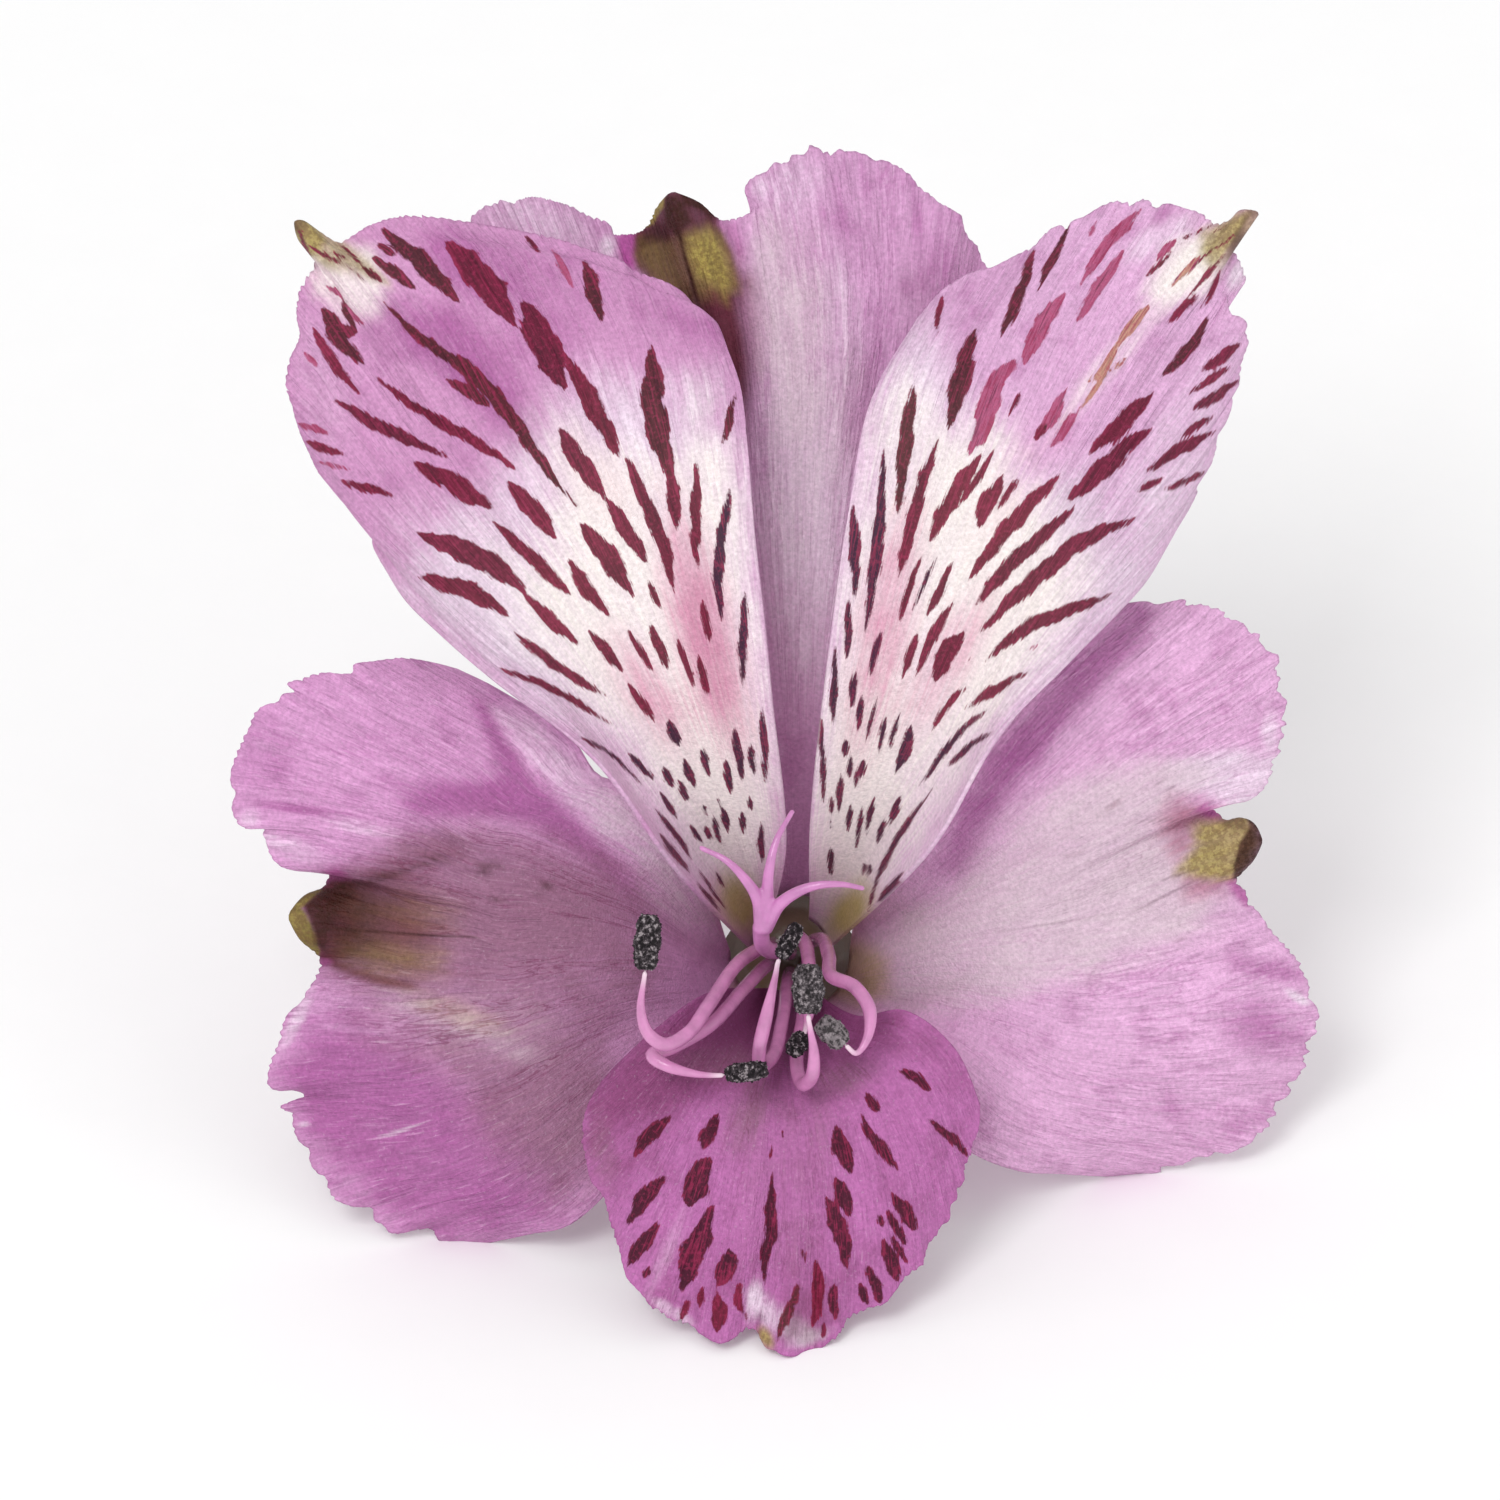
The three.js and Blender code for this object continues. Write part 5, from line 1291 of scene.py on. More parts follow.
def fibre_group(name):
    """Fine fibres that run along the veins: a soft tone, and sharper lines that come and go."""
    group, given, out = new_group(
        name, "ShaderNodeTree",
        {"Vein": ("NodeSocketVector", None), "Count": ("NodeSocketFloat", 90.0),
         "Length": ("NodeSocketFloat", 3.0)},
        {"Tone": "NodeSocketFloat", "Lines": "NodeSocketFloat"})
    stretch = add_node(group, "ShaderNodeCombineXYZ", {0: given["Count"], 1: given["Length"], 2: 1.0})
    vector = add_node(group, "ShaderNodeVectorMath", {0: given["Vein"], 1: stretch.outputs[0]},
                      operation="MULTIPLY").outputs[0]
    tone = noise(group, vector, 1.0, 3.0, 0.6, 0.5)
    lines = stepped(group, calculate(group, "ABSOLUTE", without(group, tone, 0.5)), 0.045, 0.0)
    breaks = noise(group, vector, 0.37, 1.0)
    group.links.new(tone, out["Tone"])
    group.links.new(product(group, lines, stepped(group, breaks, 0.45, 0.6)), out["Lines"])
    return group


def cell_group(name):
    """The tiny domed cells of a petal's skin: their height, unevenness of tone, painted glints and larger
    clouds.
    """
    group, given, out = new_group(
        name, "ShaderNodeTree", {"Size": ("NodeSocketFloat", 0.09 * MM)},
        {key: "NodeSocketFloat" for key in ("Height", "Tone", "Sparkle", "Cloud", "Blotch")})
    where = object_place(group)
    scale = calculate(group, "DIVIDE", 1.0, given["Size"])
    cells = add_node(group, "ShaderNodeTexVoronoi", {"Vector": where, "Scale": scale})
    bright = noise(group, where, product(group, scale, 0.8), 1.0)
    for key, value in {
        "Height": without(group, 1.0, cells.outputs[0]),
        "Tone": noise(group, where, product(group, scale, 0.6), 2.0),
        # Painted glints: the brightest specks of a finer noise, later laid on as pale colour.
        "Sparkle": stepped(group, bright, 0.62, 0.8),
        "Cloud": noise(group, where, NOISE_SCALES["cloud"], 3.0),
        "Blotch": noise(group, where, NOISE_SCALES["blotch"], 4.0, 0.65),
    }.items():
        group.links.new(value, out[key])
    return group


def feather_group(name):
    """Breaks the edge of a mask into strands along the fibres."""
    group, given, out = new_group(
        name, "ShaderNodeTree",
        {"Mask": ("NodeSocketFloat", 0.0), "Fibres": ("NodeSocketFloat", 0.5),
         "Amount": ("NodeSocketFloat", 1.0)},
        {"Mask": "NodeSocketFloat"})
    shift = product(group, without(group, given["Fibres"], 0.5), given["Amount"])
    edge = product(group, given["Mask"], without(group, 1.0, given["Mask"]))
    feathered = product(group, shift, product(group, edge, 4.0))
    group.links.new(calculate(group, "ADD", feathered, given["Mask"], clamp=True), out["Mask"])
    return group


def shared_group(name, build):
    """The group of that name, which is built the first time that it is asked for."""
    return bpy.data.node_groups.get(name) or build(name)


def use_group(tree, name, build, inputs):
    return add_node(tree, "ShaderNodeGroup", inputs, node_tree=shared_group(name, build)).outputs


def new_material(name, **constants):
    """A material whose Principled shader has the given constant values, and that shader."""
    material = bpy.data.materials.new(name)
    material.use_nodes = True
    tree = material.node_tree
    shader = tree.nodes["Principled BSDF"]
    for key, value in constants.items():
        shader.inputs[key.replace("_", " ")].default_value = value
    return material, tree, shader


def surface(tree, shader, colour, height=None, strength=1.0, distance=0.3 * MM):
    """Gives the shader its colour and, where there is a height, its bumps."""
    tree.links.new(colour, shader.inputs["Base Color"])
    if height:
        bump = add_node(tree, "ShaderNodeBump",
                        {"Strength": strength, "Distance": distance, "Height": height})
        tree.links.new(bump.outputs[0], shader.inputs["Normal"])


# ------------------------------------------------------------------ materials
def petal_masks(tree, mottled):
    """The masks of the soft patches, with frayed edges."""
    return {kind: use_group(tree, "Feathered edge", feather_group, {
        "Mask": read_attribute(tree, kind), "Fibres": mottled,
        "Amount": 1.8 if kind in SOFT_KINDS else 0.7})[0] for kind in PATCH_KINDS}


def petal_material(name, ground, deep, pale, colours, streaked):
    """Satin petal: soft patches, some of them painted light and shade, fibres along the veins, skin cells,
    painted glints and, on some, dark streaks.
    """
    material, tree, shader = new_material(name, Roughness=0.5, Specular_IOR_Level=0.18)
    vein = read_attribute(tree, "vein", "Vector")
    coarse, fine = (
        use_group(tree, "Petal fibres", fibre_group, {"Vein": vein, "Count": count, "Length": length})
        for count, length in (COARSE_FIBRES, FINE_FIBRES))
    cells = use_group(tree, "Skin cells", cell_group, {"Size": PETAL_CELL})
    cloud = cells["Cloud"]
    strength = 0.45 if streaked else 0.8
    tints = {kind: getattr(colours, kind) for kind in PATCH_KINDS}
    tints.update(deep=deep, cream=pale)
    mottled = added(tree, product(tree, coarse["Tone"], 0.6), product(tree, cloud, 0.4))
    masks = petal_masks(tree, mottled)
    bare = without(tree, 1.0, product(tree, masks["cream"], 0.65))
    whole = add_node(tree, "ShaderNodeSeparateXYZ", {0: vein}).outputs[1]
    spread = product(tree, stepped(tree, whole, 0.1, 0.75), bare)

    def laid_over(colour, layers):
        for tint, *factors in layers:
            colour = blend_colour(tree, product(tree, *factors), colour, tint)
        return colour

    colour = blend_colour(tree, product(tree, stepped(tree, cloud, 0.5, 0.72), 0.3), ground, deep)
    colour = laid_over(colour, [(tints[kind], masks[kind]) for kind in SOFT_KINDS])
    patchy = product(tree, stepped(tree, cloud, 0.3, 0.65), strength, spread)
    colour = laid_over(colour, [
        (deep, stepped(tree, fine["Tone"], 0.5, 0.3), 0.3, patchy),
        # Painted glints: pale specks along the fine fibres.
        (colours.pale, stepped(tree, fine["Tone"], 0.54, 0.75), 0.3, patchy),
        (deep, coarse["Lines"], bare, 0.45 * strength),
        # Veins darkened only where the mauve paints shade, as part of that painted shade.
        (colours.maroon, coarse["Lines"], masks["mauve"], 0.6),
        # Painted glints of the skin cells, in pale colour.
        (colours.pale, cells["Sparkle"], 0.15),
    ])
    masks["umber"] = product(tree, masks["umber"], rescaled(tree, cells["Blotch"], 1.0, 0.84, 0.42, 0.62))
    colour = laid_over(colour, [(tints[kind], masks[kind]) for kind in HORN_KINDS])
    horned = product(tree, stepped(tree, whole, 0.5, 0.7), masks["olive"])
    russet = between(colours.maroon, colours.umber, 0.5)
    colour = laid_over(colour, [(russet, stepped(tree, cells["Blotch"], 0.43, 0.56), horned, 0.42)])
    if streaked:
        colour = add_streaks(tree, colour, mottled, fine["Tone"], cells["Tone"], colours)
    both = without(tree, added(tree, fine["Tone"], coarse["Tone"]), 1.0)
    fibrous = product(tree, both, spread, 0.7 * strength)
    value = product(tree, added(tree, fibrous, 1.0), rescaled(tree, cells["Tone"], 0.7, 1.3))
    colour = blend_colour(tree, 1.0, colour, value, "MULTIPLY")
    crinkle = added(tree, product(tree, fine["Tone"], 0.5), product(tree, coarse["Tone"], 1.2))
    crinkle = product(tree, crinkle, added(tree, product(tree, spread, 0.8), 0.2))
    surface(tree, shader, colour, added(tree, crinkle, product(tree, cells["Height"], 0.2)), 0.8)
    return material


def tone_ramp(tree, colours):
    """The streaks' tones, one after the other."""
    ramp = add_node(tree, "ShaderNodeValToRGB", {0: read_attribute(tree, "tone")})
    elements = ramp.color_ramp.elements
    while len(elements) < len(STREAK_TONES):
        elements.new(0.5)
    for index, tone in enumerate(STREAK_TONES):
        elements[index].position = index / (len(STREAK_TONES) - 1)
        elements[index].color = opaque(getattr(colours, tone))
    return ramp.outputs[0]


def add_streaks(tree, colour, mottled, strands, grain, colours):
    """Dark, grainy streaks with frayed edges and strands of a brighter red, fainter on the back."""
    inside = read_attribute(tree, "streak")
    for wander, amount in ((mottled, 0.7), (strands, 0.4), (grain, 0.2)):
        inside = added(tree, inside, product(tree, without(tree, wander, 0.5), amount))
    shown = rescaled(tree, read_attribute(tree, "front"), 0.33, 0.97)
    mask = product(tree, stepped(tree, inside, -0.06, 0.07), shown)
    both = product(tree, added(tree, mottled, strands), 0.5)
    edge = without(tree, 1.0, stepped(tree, inside, 0.0, 0.14))
    uneven = product(tree, stepped(tree, both, 0.5, 0.58), 0.7)
    brighter = calculate(tree, "MAXIMUM", product(tree, edge, 0.3), uneven)
    darker = product(tree, stepped(tree, both, 0.49, 0.4), 0.5)
    speckled = product(tree, stepped(tree, grain, 0.52, 0.68), 0.45)
    tone = blend_colour(tree, brighter, tone_ramp(tree, colours), colours.flare)
    tone = blend_colour(tree, darker, tone, scaled(colours.wine, 0.3))
    tone = blend_colour(tree, speckled, tone, colours.flare)
    return blend_colour(tree, mask, colour, tone)


def stem_material(name, colour, roughness, tip=None):
    """Moist, glossy, slightly uneven tissue of a filament, the style, the ovary or the stalk."""
    material, tree, shader = new_material(name, Roughness=roughness, Coat_Weight=0.6, Coat_Roughness=0.12)
    uneven = noise(tree, object_place(tree), NOISE_SCALES["tissue"], 4.0)
    value = rescaled(tree, uneven, 0.85, 1.12, 0.3, 0.7)
    tone = blend_colour(tree, 1.0, colour, value, "MULTIPLY")
    if tip is not None:
        tone = blend_colour(tree, read_attribute(tree, "tip"), tone, tip)
    cells = use_group(tree, "Skin cells", cell_group, {"Size": STEM_CELL})
    surface(tree, shader, tone, cells["Height"], 0.35, 0.05 * MM)
    return material


def anther_material(name, dark, pale, tone):
    """Dusty, crumpled pollen: paler crumbs on a middle tone, and dark pits that are painted shade in the
    bump's hollows.
    """
    material, tree, shader = new_material(name, Roughness=0.75, Specular_IOR_Level=0.2)
    crumbs = noise(tree, object_place(tree), NOISE_SCALES["crumbs"], 3.0, 0.6)
    base = between(dark, pale, tone)
    colour = blend_colour(tree, stepped(tree, crumbs, 0.53, 0.64), base, pale)
    # Painted shade: darker where the crumbs noise, and so the bump, is low.
    colour = blend_colour(tree, stepped(tree, crumbs, 0.5, 0.42), colour, scaled(base, 0.25))
    surface(tree, shader, colour, crumbs)
    return material


# ------------------------------------------------------------------ geometry node trees
def tube_tree(name):
    """A round stem along a path, with its own taper towards the tip and domed ends."""
    tree, given, out = new_group(
        name, "GeometryNodeTree",
        {"Path": ("NodeSocketGeometry", None), "Radius": ("NodeSocketFloat", 0.45 * MM),
         "Tip Radius": ("NodeSocketFloat", 0.3 * MM), "Taper From": ("NodeSocketFloat", 0.7),
         "White Tip": ("NodeSocketFloat", 1.5 * MM), "Steps": ("NodeSocketInt", 160),
         "Sides": ("NodeSocketInt", 14), "Material": ("NodeSocketMaterial", None)},
        {"Geometry": "NodeSocketGeometry"})
    curve = add_node(tree, "GeometryNodeMeshToCurve", {0: given["Path"]}).outputs[0]
    curve = add_node(tree, "GeometryNodeResampleCurve", {0: curve, 2: given["Steps"]}).outputs[0]
    way = add_node(tree, "GeometryNodeSplineParameter").outputs
    whole = add_node(tree, "GeometryNodeSplineLength").outputs[0]
    taper = rescaled(tree, way["Factor"], given["Radius"], given["Tip Radius"], given["Taper From"],
                     smooth=True)
    left = without(tree, whole, way["Length"])
    end = calculate(tree, "MINIMUM", way["Length"], left)
    hollow = calculate(tree, "SUBTRACT", 1.0, calculate(tree, "DIVIDE", end, taper), clamp=True)
    dome = calculate(tree, "SQRT", without(tree, 1.0, product(tree, hollow, hollow)))
    scale = calculate(tree, "MAXIMUM", product(tree, taper, dome), END_RADIUS)
    white = stepped(tree, left, given["White Tip"], 0.0)
    curve = add_node(tree, "GeometryNodeStoreNamedAttribute", {0: curve, "Name": "tip", "Value": white},
                     data_type="FLOAT", domain="POINT").outputs[0]
    ring = add_node(tree, "GeometryNodeCurvePrimitiveCircle", {"Resolution": given["Sides"], "Radius": 1.0})
    tube = add_node(tree, "GeometryNodeCurveToMesh",
                    {0: curve, 1: ring.outputs[0], "Scale": scale, "Fill Caps": True}).outputs[0]
    tube = add_node(tree, "GeometryNodeSetShadeSmooth", {0: tube}).outputs[0]
    finish_tree(tree, tube, given["Material"], out)
    return tree


def pollen_tree(name):
    """Grains of pollen scattered over a sac."""
    tree, given, out = new_group(
        name, "GeometryNodeTree",
        {"Sac": ("NodeSocketGeometry", None), "Grain Radius": ("NodeSocketFloat", 0.06 * MM),
         "Spacing": ("NodeSocketFloat", 0.12 * MM), "Density": ("NodeSocketFloat", 6.0e7),
         "Seed": ("NodeSocketInt", 7), "Material": ("NodeSocketMaterial", None)},
        {"Geometry": "NodeSocketGeometry"})
    points = add_node(tree, "GeometryNodeDistributePointsOnFaces",
                      {0: given["Sac"], "Distance Min": given["Spacing"], "Density Max": given["Density"],
                       "Seed": given["Seed"]}, distribute_method="POISSON").outputs
    size = add_node(tree, "FunctionNodeRandomValue", {2: 0.55, 3: 1.25, "Seed": given["Seed"]},
                    data_type="FLOAT").outputs[1]
    grain = add_node(tree, "GeometryNodeMeshIcoSphere", {"Radius": given["Grain Radius"], "Subdivisions": 1})
    grains = add_node(tree, "GeometryNodeInstanceOnPoints",
                      {0: points[0], 2: grain.outputs[0], 5: points["Rotation"], 6: size}).outputs[0]
    joined = add_node(tree, "GeometryNodeJoinGeometry", {0: given["Sac"]})
    tree.links.new(grains, joined.inputs[0])
    finish_tree(tree, joined.outputs[0], given["Material"], out)
    return tree


def finish_tree(tree, geometry, material, out):
    real = add_node(tree, "GeometryNodeRealizeInstances", {0: geometry}).outputs[0]
    coated = add_node(tree, "GeometryNodeSetMaterial", {0: real, 2: material}).outputs[0]
    tree.links.new(coated, out["Geometry"])


def grown(name, start, tree, values):
    """Turns the path or body start into the plain mesh that a node tree makes from it."""
    modifier = start.modifiers.new(tree.name, "NODES")
    modifier.node_group = tree
    sockets = {item.name: item.identifier for item in tree.interface.items_tree if item.in_out == "INPUT"}
    for key, value in values.items():
        modifier[sockets[key]] = value
    apply_modifiers(start, name)
    return start


def grown_stem(name, route, material, radii, taper_from, points, rings, sides, white_tip=NO_WHITE_TIP):
    """A round stem along a route, which is given by its points in millimetres."""
    path = place(along(route, np.linspace(0, 1, points)))
    start = mesh_object(name, path, [], links=[(i, i + 1) for i in range(points - 1)])
    return grown(name, start, shared_group("Stem along a path", tube_tree), {
        "Radius": radii[0] * MM, "Tip Radius": radii[1] * MM, "Taper From": taper_from,
        "White Tip": white_tip, "Steps": rings, "Sides": sides, "Material": material})


# ------------------------------------------------------------------ pieces
def anther_sac(stamen, seed):
    """Two pollen sacs side by side: an oblong with a furrow down its front and back."""
    start = np.array(stamen["route"][-1], float)
    end = np.array(stamen["to"], float)
    length = np.linalg.norm(end - start) - ANTHER_GAP
    axis = direction(start, end)
    across = np.cross((0, 0, 1), axis)
    across /= np.linalg.norm(across)
    out = np.cross(axis, across)
    v = np.linspace(0, 1, SAC_RINGS)[:, None]
    angle = around(SAC_SIDES)
    full = np.sin(np.pi * (0.03 + 0.94 * v)) ** 0.22
    draw = np.random.RandomState(seed)
    furrow = 1 - 0.38 * np.abs(np.sin(angle)) ** 8
    lumps = 1 + 0.06 * np.sin(5 * angle + 9 * v + draw.uniform(0, 6))
    lumps += 0.05 * np.sin(17 * v + draw.uniform(0, 6)) + 0.04 * np.sin(9 * angle - 23 * v)
    wide = 0.94 * stamen["width"] / 2 * full * lumps * np.cos(angle)
    thick = stamen["thickness"] / 2 * full * furrow * lumps * np.sin(angle)
    centre = start + axis * (ANTHER_GAP + length * v[..., None])
    body = centre + across * wide[..., None] + out * thick[..., None]
    poles = np.stack([start + axis * ANTHER_GAP, end])
    vertices = np.concatenate([body.reshape(-1, 3), poles])
    return place(vertices), tube_faces(SAC_RINGS, SAC_SIDES)


class FloretOperator(bpy.types.Operator):
    """Base of the floret's operators."""

    bl_options = {"REGISTER", "UNDO"}

    def execute(self, context):
        self.build(context.scene)
        return {"FINISHED"}


class FLORET_OT_outer_tepals(FloretOperator):
    """Build the three outer tepals with their horned tips"""

    bl_idname = "floret.outer_tepals"
    bl_label = "Outer tepals"

    def build(self, scene):
        colours = scene.floret_colours
        for side in ("left", "right", "top"):
            material = petal_material(f"outer_petal_{side}", getattr(colours, f"outer_{side}"),
                                      colours.deep, colours.pale_outer, colours, streaked=False)
            build_tepal(f"outer_tepal_{side}", material, "outer_tepal", scene.floret_tepals)


class FLORET_OT_inner_tepals(FloretOperator):
    """Build the two streaked upper tepals and the deeper coloured lower one"""

    bl_idname = "floret.inner_tepals"
    bl_label = "Inner tepals"

    def build(self, scene):
        colours = scene.floret_colours
        for side, name, ground, deep, slot in (
                ("left", "inner_petal_left", colours.inner_left, colours.deep, "inner_tepal"),
                ("right", "inner_petal_right", colours.inner_right, colours.deep, "inner_tepal"),
                ("lower", "lower_petal", colours.lower, colours.deep_lower, "lower_tepal")):
            material = petal_material(name, ground, deep, colours.cream, colours, streaked=True)
            build_tepal(f"inner_tepal_{side}", material, slot, scene.floret_tepals)


class FLORET_OT_filaments(FloretOperator):
    """Build the six curling filaments"""

    bl_idname = "floret.filaments"
    bl_label = "Filaments"

    def build(self, scene):
        colours = scene.floret_colours
        material = stem_material("filament_tissue", colours.filament, 0.24, tip=colours.filament_tip)
        for index, stamen in enumerate(STAMENS, 1):
            foot = (*on_ring(STAMEN_RING, stamen["foot"]), SEAT)
            last = stamen["route"][-1]
            thread = np.array(last) + THREAD * direction(last, stamen["to"])
            obj = grown_stem(f"filament_{index}_stem", [foot, *stamen["route"], thread], material,
                             **FILAMENT, white_tip=scene.floret_stamens.white_tip)
            finish_piece(obj, "filament", f"filament_{index}")


class FLORET_OT_anthers(FloretOperator):
    """Build the six anthers with their grains of pollen"""

    bl_idname = "floret.anthers"
    bl_label = "Anthers"

    def build(self, scene):
        colours = scene.floret_colours
        sizes = scene.floret_stamens
        for index, stamen in enumerate(STAMENS, 1):
            material = anther_material(f"pollen_{index}", colours.anther, colours.anther_open,
                                       stamen["tone"])
            seed = sizes.seed + index
            name = f"anther_{index}_sacs"
            obj = grown(name, mesh_object(name, *anther_sac(stamen, seed)),
                        shared_group("Pollen grains", pollen_tree), {
                            "Grain Radius": sizes.grain, "Spacing": sizes.grain_spacing, "Seed": seed,
                            "Material": material})
            slot = "opened_anther" if stamen["tone"] > OPENED else "anther"
            finish_piece(obj, slot, f"anther_{index}")


class FLORET_OT_style(FloretOperator):
    """Build the style, whose three branches are fused with its trunk"""

    bl_idname = "floret.style"
    bl_label = "Style"

    def build(self, scene):
        material = stem_material("style_tissue", scene.floret_colours.style, 0.28)
        parts = [grown_stem("style_trunk", STYLE_TRUNK, material, **TRUNK)]
        for index, route in enumerate(STYLE_BRANCHES):
            parts.append(grown_stem(f"style_branch_{index}", route, material, **BRANCH))
        obj = fused(parts, "style_and_branches", material, scene.floret_stamens.style_voxel)
        finish_piece(obj, "style", "style")


def fused(parts, name, material, voxel):
    """One closed skin round overlapping parts, smoothed where they meet."""
    with bpy.context.temp_override(active_object=parts[0], selected_editable_objects=parts,
                                   selected_objects=parts):
        bpy.ops.object.join()
    obj = parts[0]
    remesh = obj.modifiers.new("fuse", "REMESH")
    remesh.mode = "VOXEL"
    remesh.voxel_size = voxel
    remesh.use_smooth_shade = True
    smooth = obj.modifiers.new("soften", "SMOOTH")
    smooth.factor = 0.5
    smooth.iterations = 6
    apply_modifiers(obj, name)
    obj.data.materials.clear()
    obj.data.materials.append(material)
    return obj


class FLORET_OT_ovary(FloretOperator):
    """Build the ribbed ovary below the bloom"""

    bl_idname = "floret.ovary"
    bl_label = "Ovary"

    def build(self, scene):
        colours = scene.floret_colours
        material = stem_material("ovary_tissue", colours.ovary, 0.45, tip=colours.throat)
        radius, z = along(OVARY_PROFILE, np.linspace(0, 1, OVARY_RINGS)).T[..., None]
        angle = around(OVARY_SIDES)
        rib = (np.cos(OVARY_RIBS * angle) - 1) / 2 * np.minimum(1, (z - OVARY_PROFILE[0][1]) / 2)
        wide = radius * (1 + OVARY_RIB_DEPTH * rib)
        rings = np.stack([wide * np.cos(angle), wide * np.sin(angle), z + 0 * angle], axis=2)
        poles = np.array([(0, 0, z[0, 0]), (0, 0, z[-1, 0])])
        vertices = place(np.concatenate([rings.reshape(-1, 3), poles]))
        # The top takes the throat's colour, partly painted shade deep in the throat.
        top = smoothstep(z[:, 0], THROAT_FROM, THROAT_FULL)
        tip = np.concatenate([np.repeat(top, OVARY_SIDES), [0, 1]])
        obj = mesh_object("ovary_body", vertices, tube_faces(OVARY_RINGS, OVARY_SIDES), material,
                          {"tip": tip})
        finish_piece(obj, "ovary", "ovary")


def pedicel_path():
    """The stalk's middle line in millimetres: down in an arc from the ovary, then level."""
    neck = LAID_DOWN @ Vector((0, 0, OVARY_FOOT - SEAT))
    angle = FACE_UP * (1 - np.linspace(0, 1, PEDICEL_ARC_POINTS))
    bend = PEDICEL_BEND_RADIUS
    arc = np.stack([
        np.full(PEDICEL_ARC_POINTS, neck.x),
        neck.y + bend * (math.sin(FACE_UP) - np.sin(angle)),
        neck.z - bend * (np.cos(angle) - math.cos(FACE_UP)),
    ], axis=1)
    rest = PEDICEL_LENGTH - bend * FACE_UP
    level = arc[-1] + np.linspace(0, rest, PEDICEL_LEVEL_POINTS)[1:, None] * np.array([0, 1, 0])
    return np.vstack([arc, level])


class FLORET_OT_pedicel(FloretOperator):
    """Build the cut stalk that lies on the surface"""

    bl_idname = "floret.pedicel"
    bl_label = "Pedicel"

    def build(self, scene):
        colours = scene.floret_colours
        material = stem_material("pedicel_tissue", colours.pedicel, 0.4, tip=colours.pith)
        v = np.linspace(0, 1, PEDICEL_RINGS)
        centre = along(pedicel_path(), v)
        forward = np.gradient(centre, axis=0)
        forward /= np.linalg.norm(forward, axis=1)[:, None]
        side = np.array([1.0, 0, 0])
        down = np.cross(forward, side)
        v = v[:, None]
        angle = around(PEDICEL_SIDES)
        wide = PEDICEL_NECK + (PEDICEL_RADIUS - PEDICEL_NECK) * smoothstep(v, 0, 0.12)
        wide = wide * (1 + 0.02 * np.cos(6 * angle))
        skin = centre[:, None] + wide[..., None] * (
            np.cos(angle)[..., None] * side + np.sin(angle)[..., None] * down[:, None])
        skin[..., 1] += PEDICEL_CUT_SLANT * smoothstep(v, 0.92, 1) * np.sin(angle)
        vertices = np.concatenate([skin.reshape(-1, 3), centre[[0, -1]]])
        vertices[:, 2] = np.maximum(vertices[:, 2], 0)
        tip = np.zeros(len(vertices))
        tip[-1] = 1
        obj = mesh_object("pedicel_stalk", vertices * MM, tube_faces(PEDICEL_RINGS, PEDICEL_SIDES),
                          material, {"tip": tip})
        finish_piece(obj, "pedicel", "pedicel")


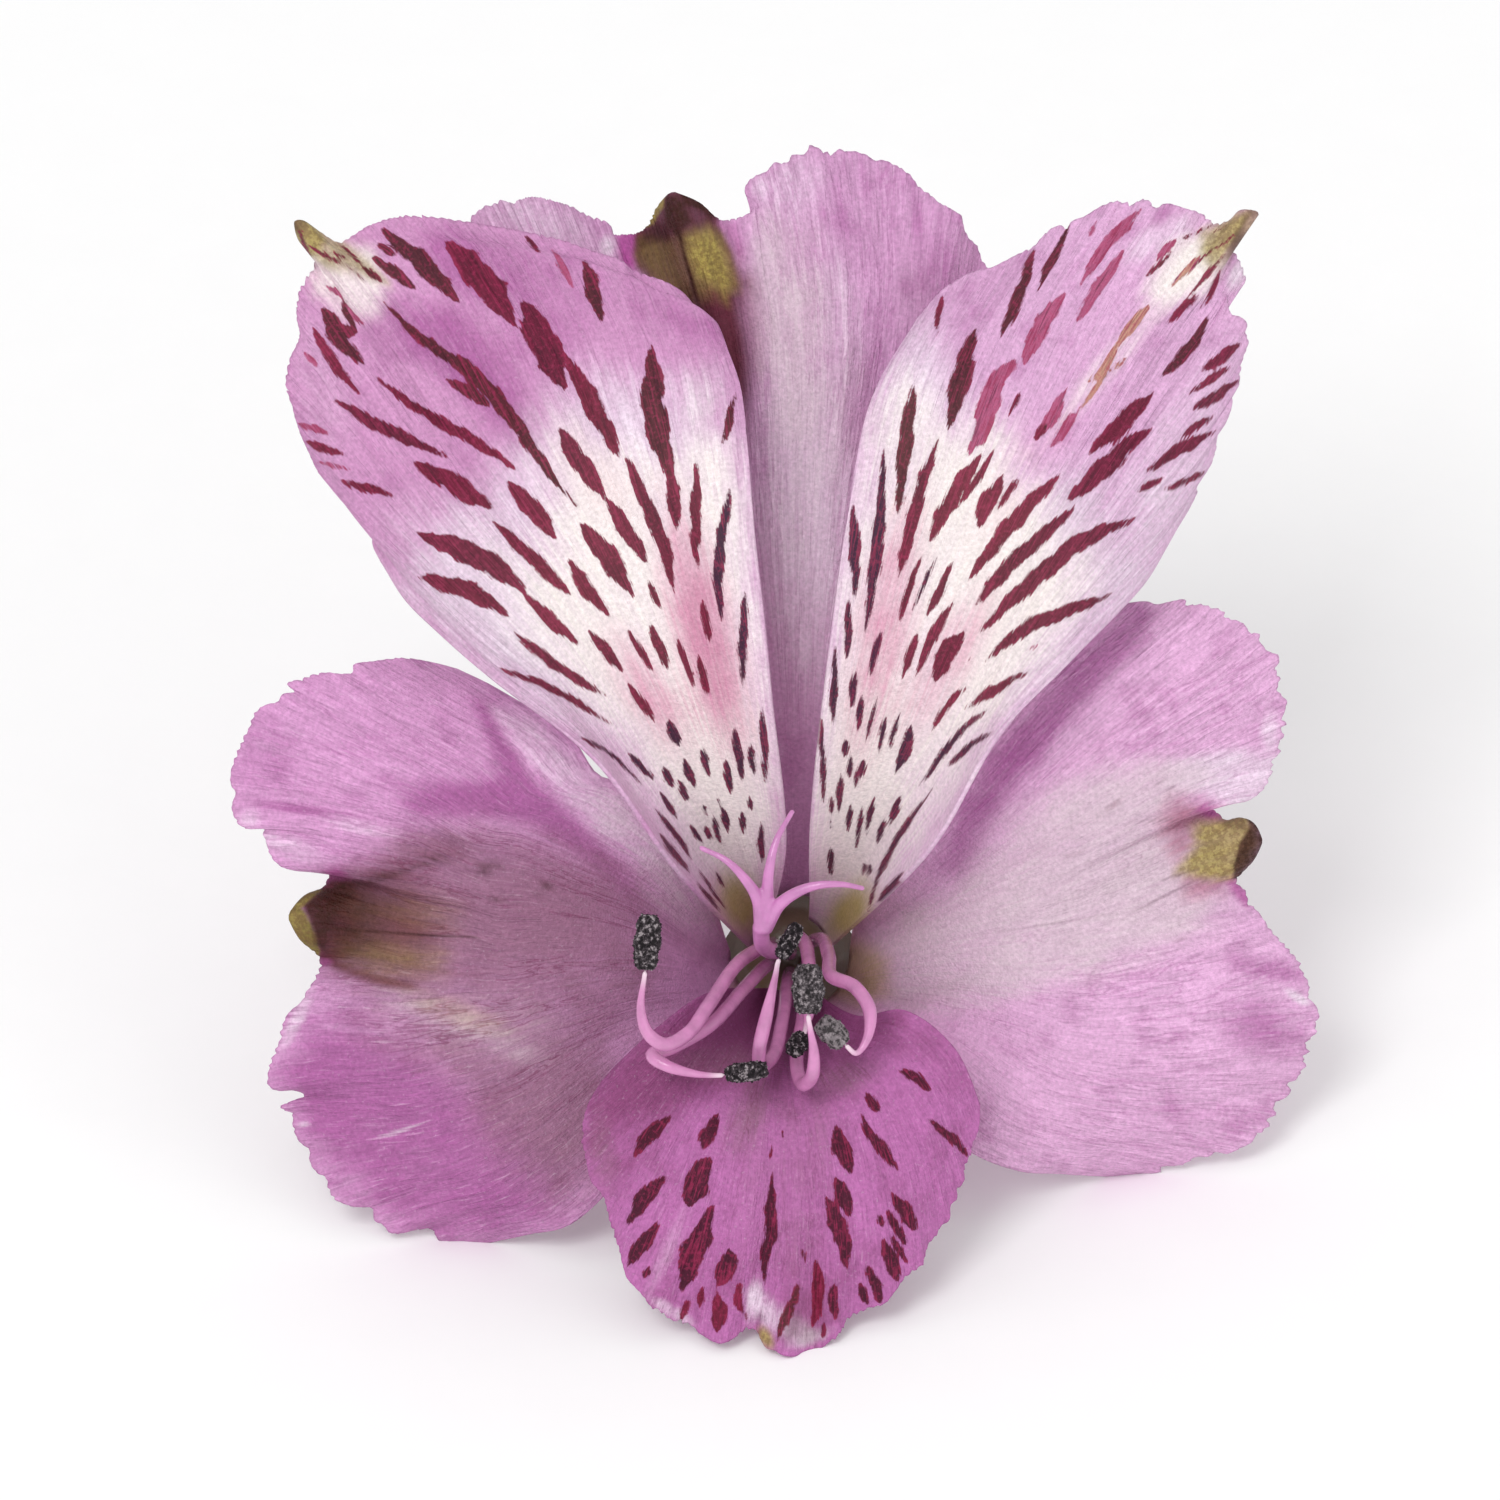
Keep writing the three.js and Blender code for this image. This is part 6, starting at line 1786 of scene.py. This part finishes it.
class FLORET_OT_stage(FloretOperator):
    """Lay the pale surface, and set up the lamps and the camera"""

    bl_idname = "floret.stage"
    bl_label = "Stage"

    def build(self, scene):
        stage = scene.floret_stage
        scene.view_settings.view_transform = "Standard"
        material, tree, shader = new_material("pale_surface", Roughness=0.75)
        uneven = noise(tree, object_place(tree), NOISE_SCALES["floor"], 3.0)
        value = rescaled(tree, uneven, 0.99, 1.01)
        surface(tree, shader, blend_colour(tree, 1.0, stage.floor, value, "MULTIPLY"))
        far = FLOOR_REACH
        corners = [(-far, -far, 0), (far, -far, 0), (far, far, 0), (-far, far, 0)]
        mesh_object("floor", corners, [(0, 1, 2, 3)], material)
        self.light_world(scene, stage.sky)
        middle = Vector(place([MIDDLE_OF_VIEW])[0])
        for name, (offset, side) in LAMPS.items():
            self.add_lamp(scene, f"{name}_lamp", middle, Vector(offset), side, getattr(stage, name))
        self.add_camera(scene, stage, middle)

    def light_world(self, scene, strength):
        world = bpy.data.worlds.new("pale_room")
        world.use_nodes = True
        background = world.node_tree.nodes["Background"]
        background.inputs["Color"].default_value = (1, 1, 1, 1)
        background.inputs["Strength"].default_value = strength
        scene.world = world

    def add_lamp(self, scene, name, middle, offset, side, power):
        lamp = bpy.data.lights.new(name, "AREA")
        lamp.shape = "SQUARE"
        lamp.size = side
        lamp.energy = power
        obj = bpy.data.objects.new(name, lamp)
        obj.location = middle + offset
        obj.rotation_euler = (-offset).to_track_quat("-Z", "Y").to_euler()
        scene.collection.objects.link(obj)

    def add_camera(self, scene, stage, middle):
        """Looks straight at the bloom's face."""
        camera = bpy.data.cameras.new("camera")
        camera.sensor_width = SENSOR
        camera.lens = SENSOR * stage.distance / stage.width
        camera.clip_end = 20
        obj = bpy.data.objects.new("camera", camera)
        turn = LAID_DOWN.to_3x3()
        forward = (turn @ Vector((0, 0, 1))).normalized()
        obj.matrix_world = Matrix.Translation(middle + forward * stage.distance) @ turn.to_4x4()
        scene.collection.objects.link(obj)
        scene.camera = obj


OPERATORS = (
    FLORET_OT_outer_tepals, FLORET_OT_inner_tepals, FLORET_OT_filaments, FLORET_OT_anthers,
    FLORET_OT_style, FLORET_OT_ovary, FLORET_OT_pedicel, FLORET_OT_stage,
)
SETTINGS = {
    "floret_tepals": FloretTepals,
    "floret_colours": FloretColours,
    "floret_stamens": FloretStamens,
    "floret_stage": FloretStage,
}


class FLORET_PT_sidebar(bpy.types.Panel):
    """Lists what builds the floret"""

    bl_idname = "FLORET_PT_sidebar"
    bl_label = "Alstroemeria floret"
    bl_space_type = "VIEW_3D"
    bl_region_type = "UI"
    bl_category = "Floret"

    def draw(self, context):
        for operator in OPERATORS:
            self.layout.operator(operator.bl_idname)
        for name in SETTINGS:
            box = self.layout.box()
            group = getattr(context.scene, name)
            for key in group.__annotations__:
                box.prop(group, key)


CLASSES = (*SETTINGS.values(), *OPERATORS, FLORET_PT_sidebar)


def register():
    for kind in CLASSES:
        bpy.utils.register_class(kind)
    for name, kind in SETTINGS.items():
        setattr(bpy.types.Scene, name, PointerProperty(type=kind))


def unregister():
    for name in SETTINGS:
        delattr(bpy.types.Scene, name)
    for kind in reversed(CLASSES):
        bpy.utils.unregister_class(kind)


def main():
    register()
    for operator in OPERATORS:
        category, name = operator.bl_idname.split(".")
        getattr(getattr(bpy.ops, category), name)()


if __name__ == "__main__":
    main()
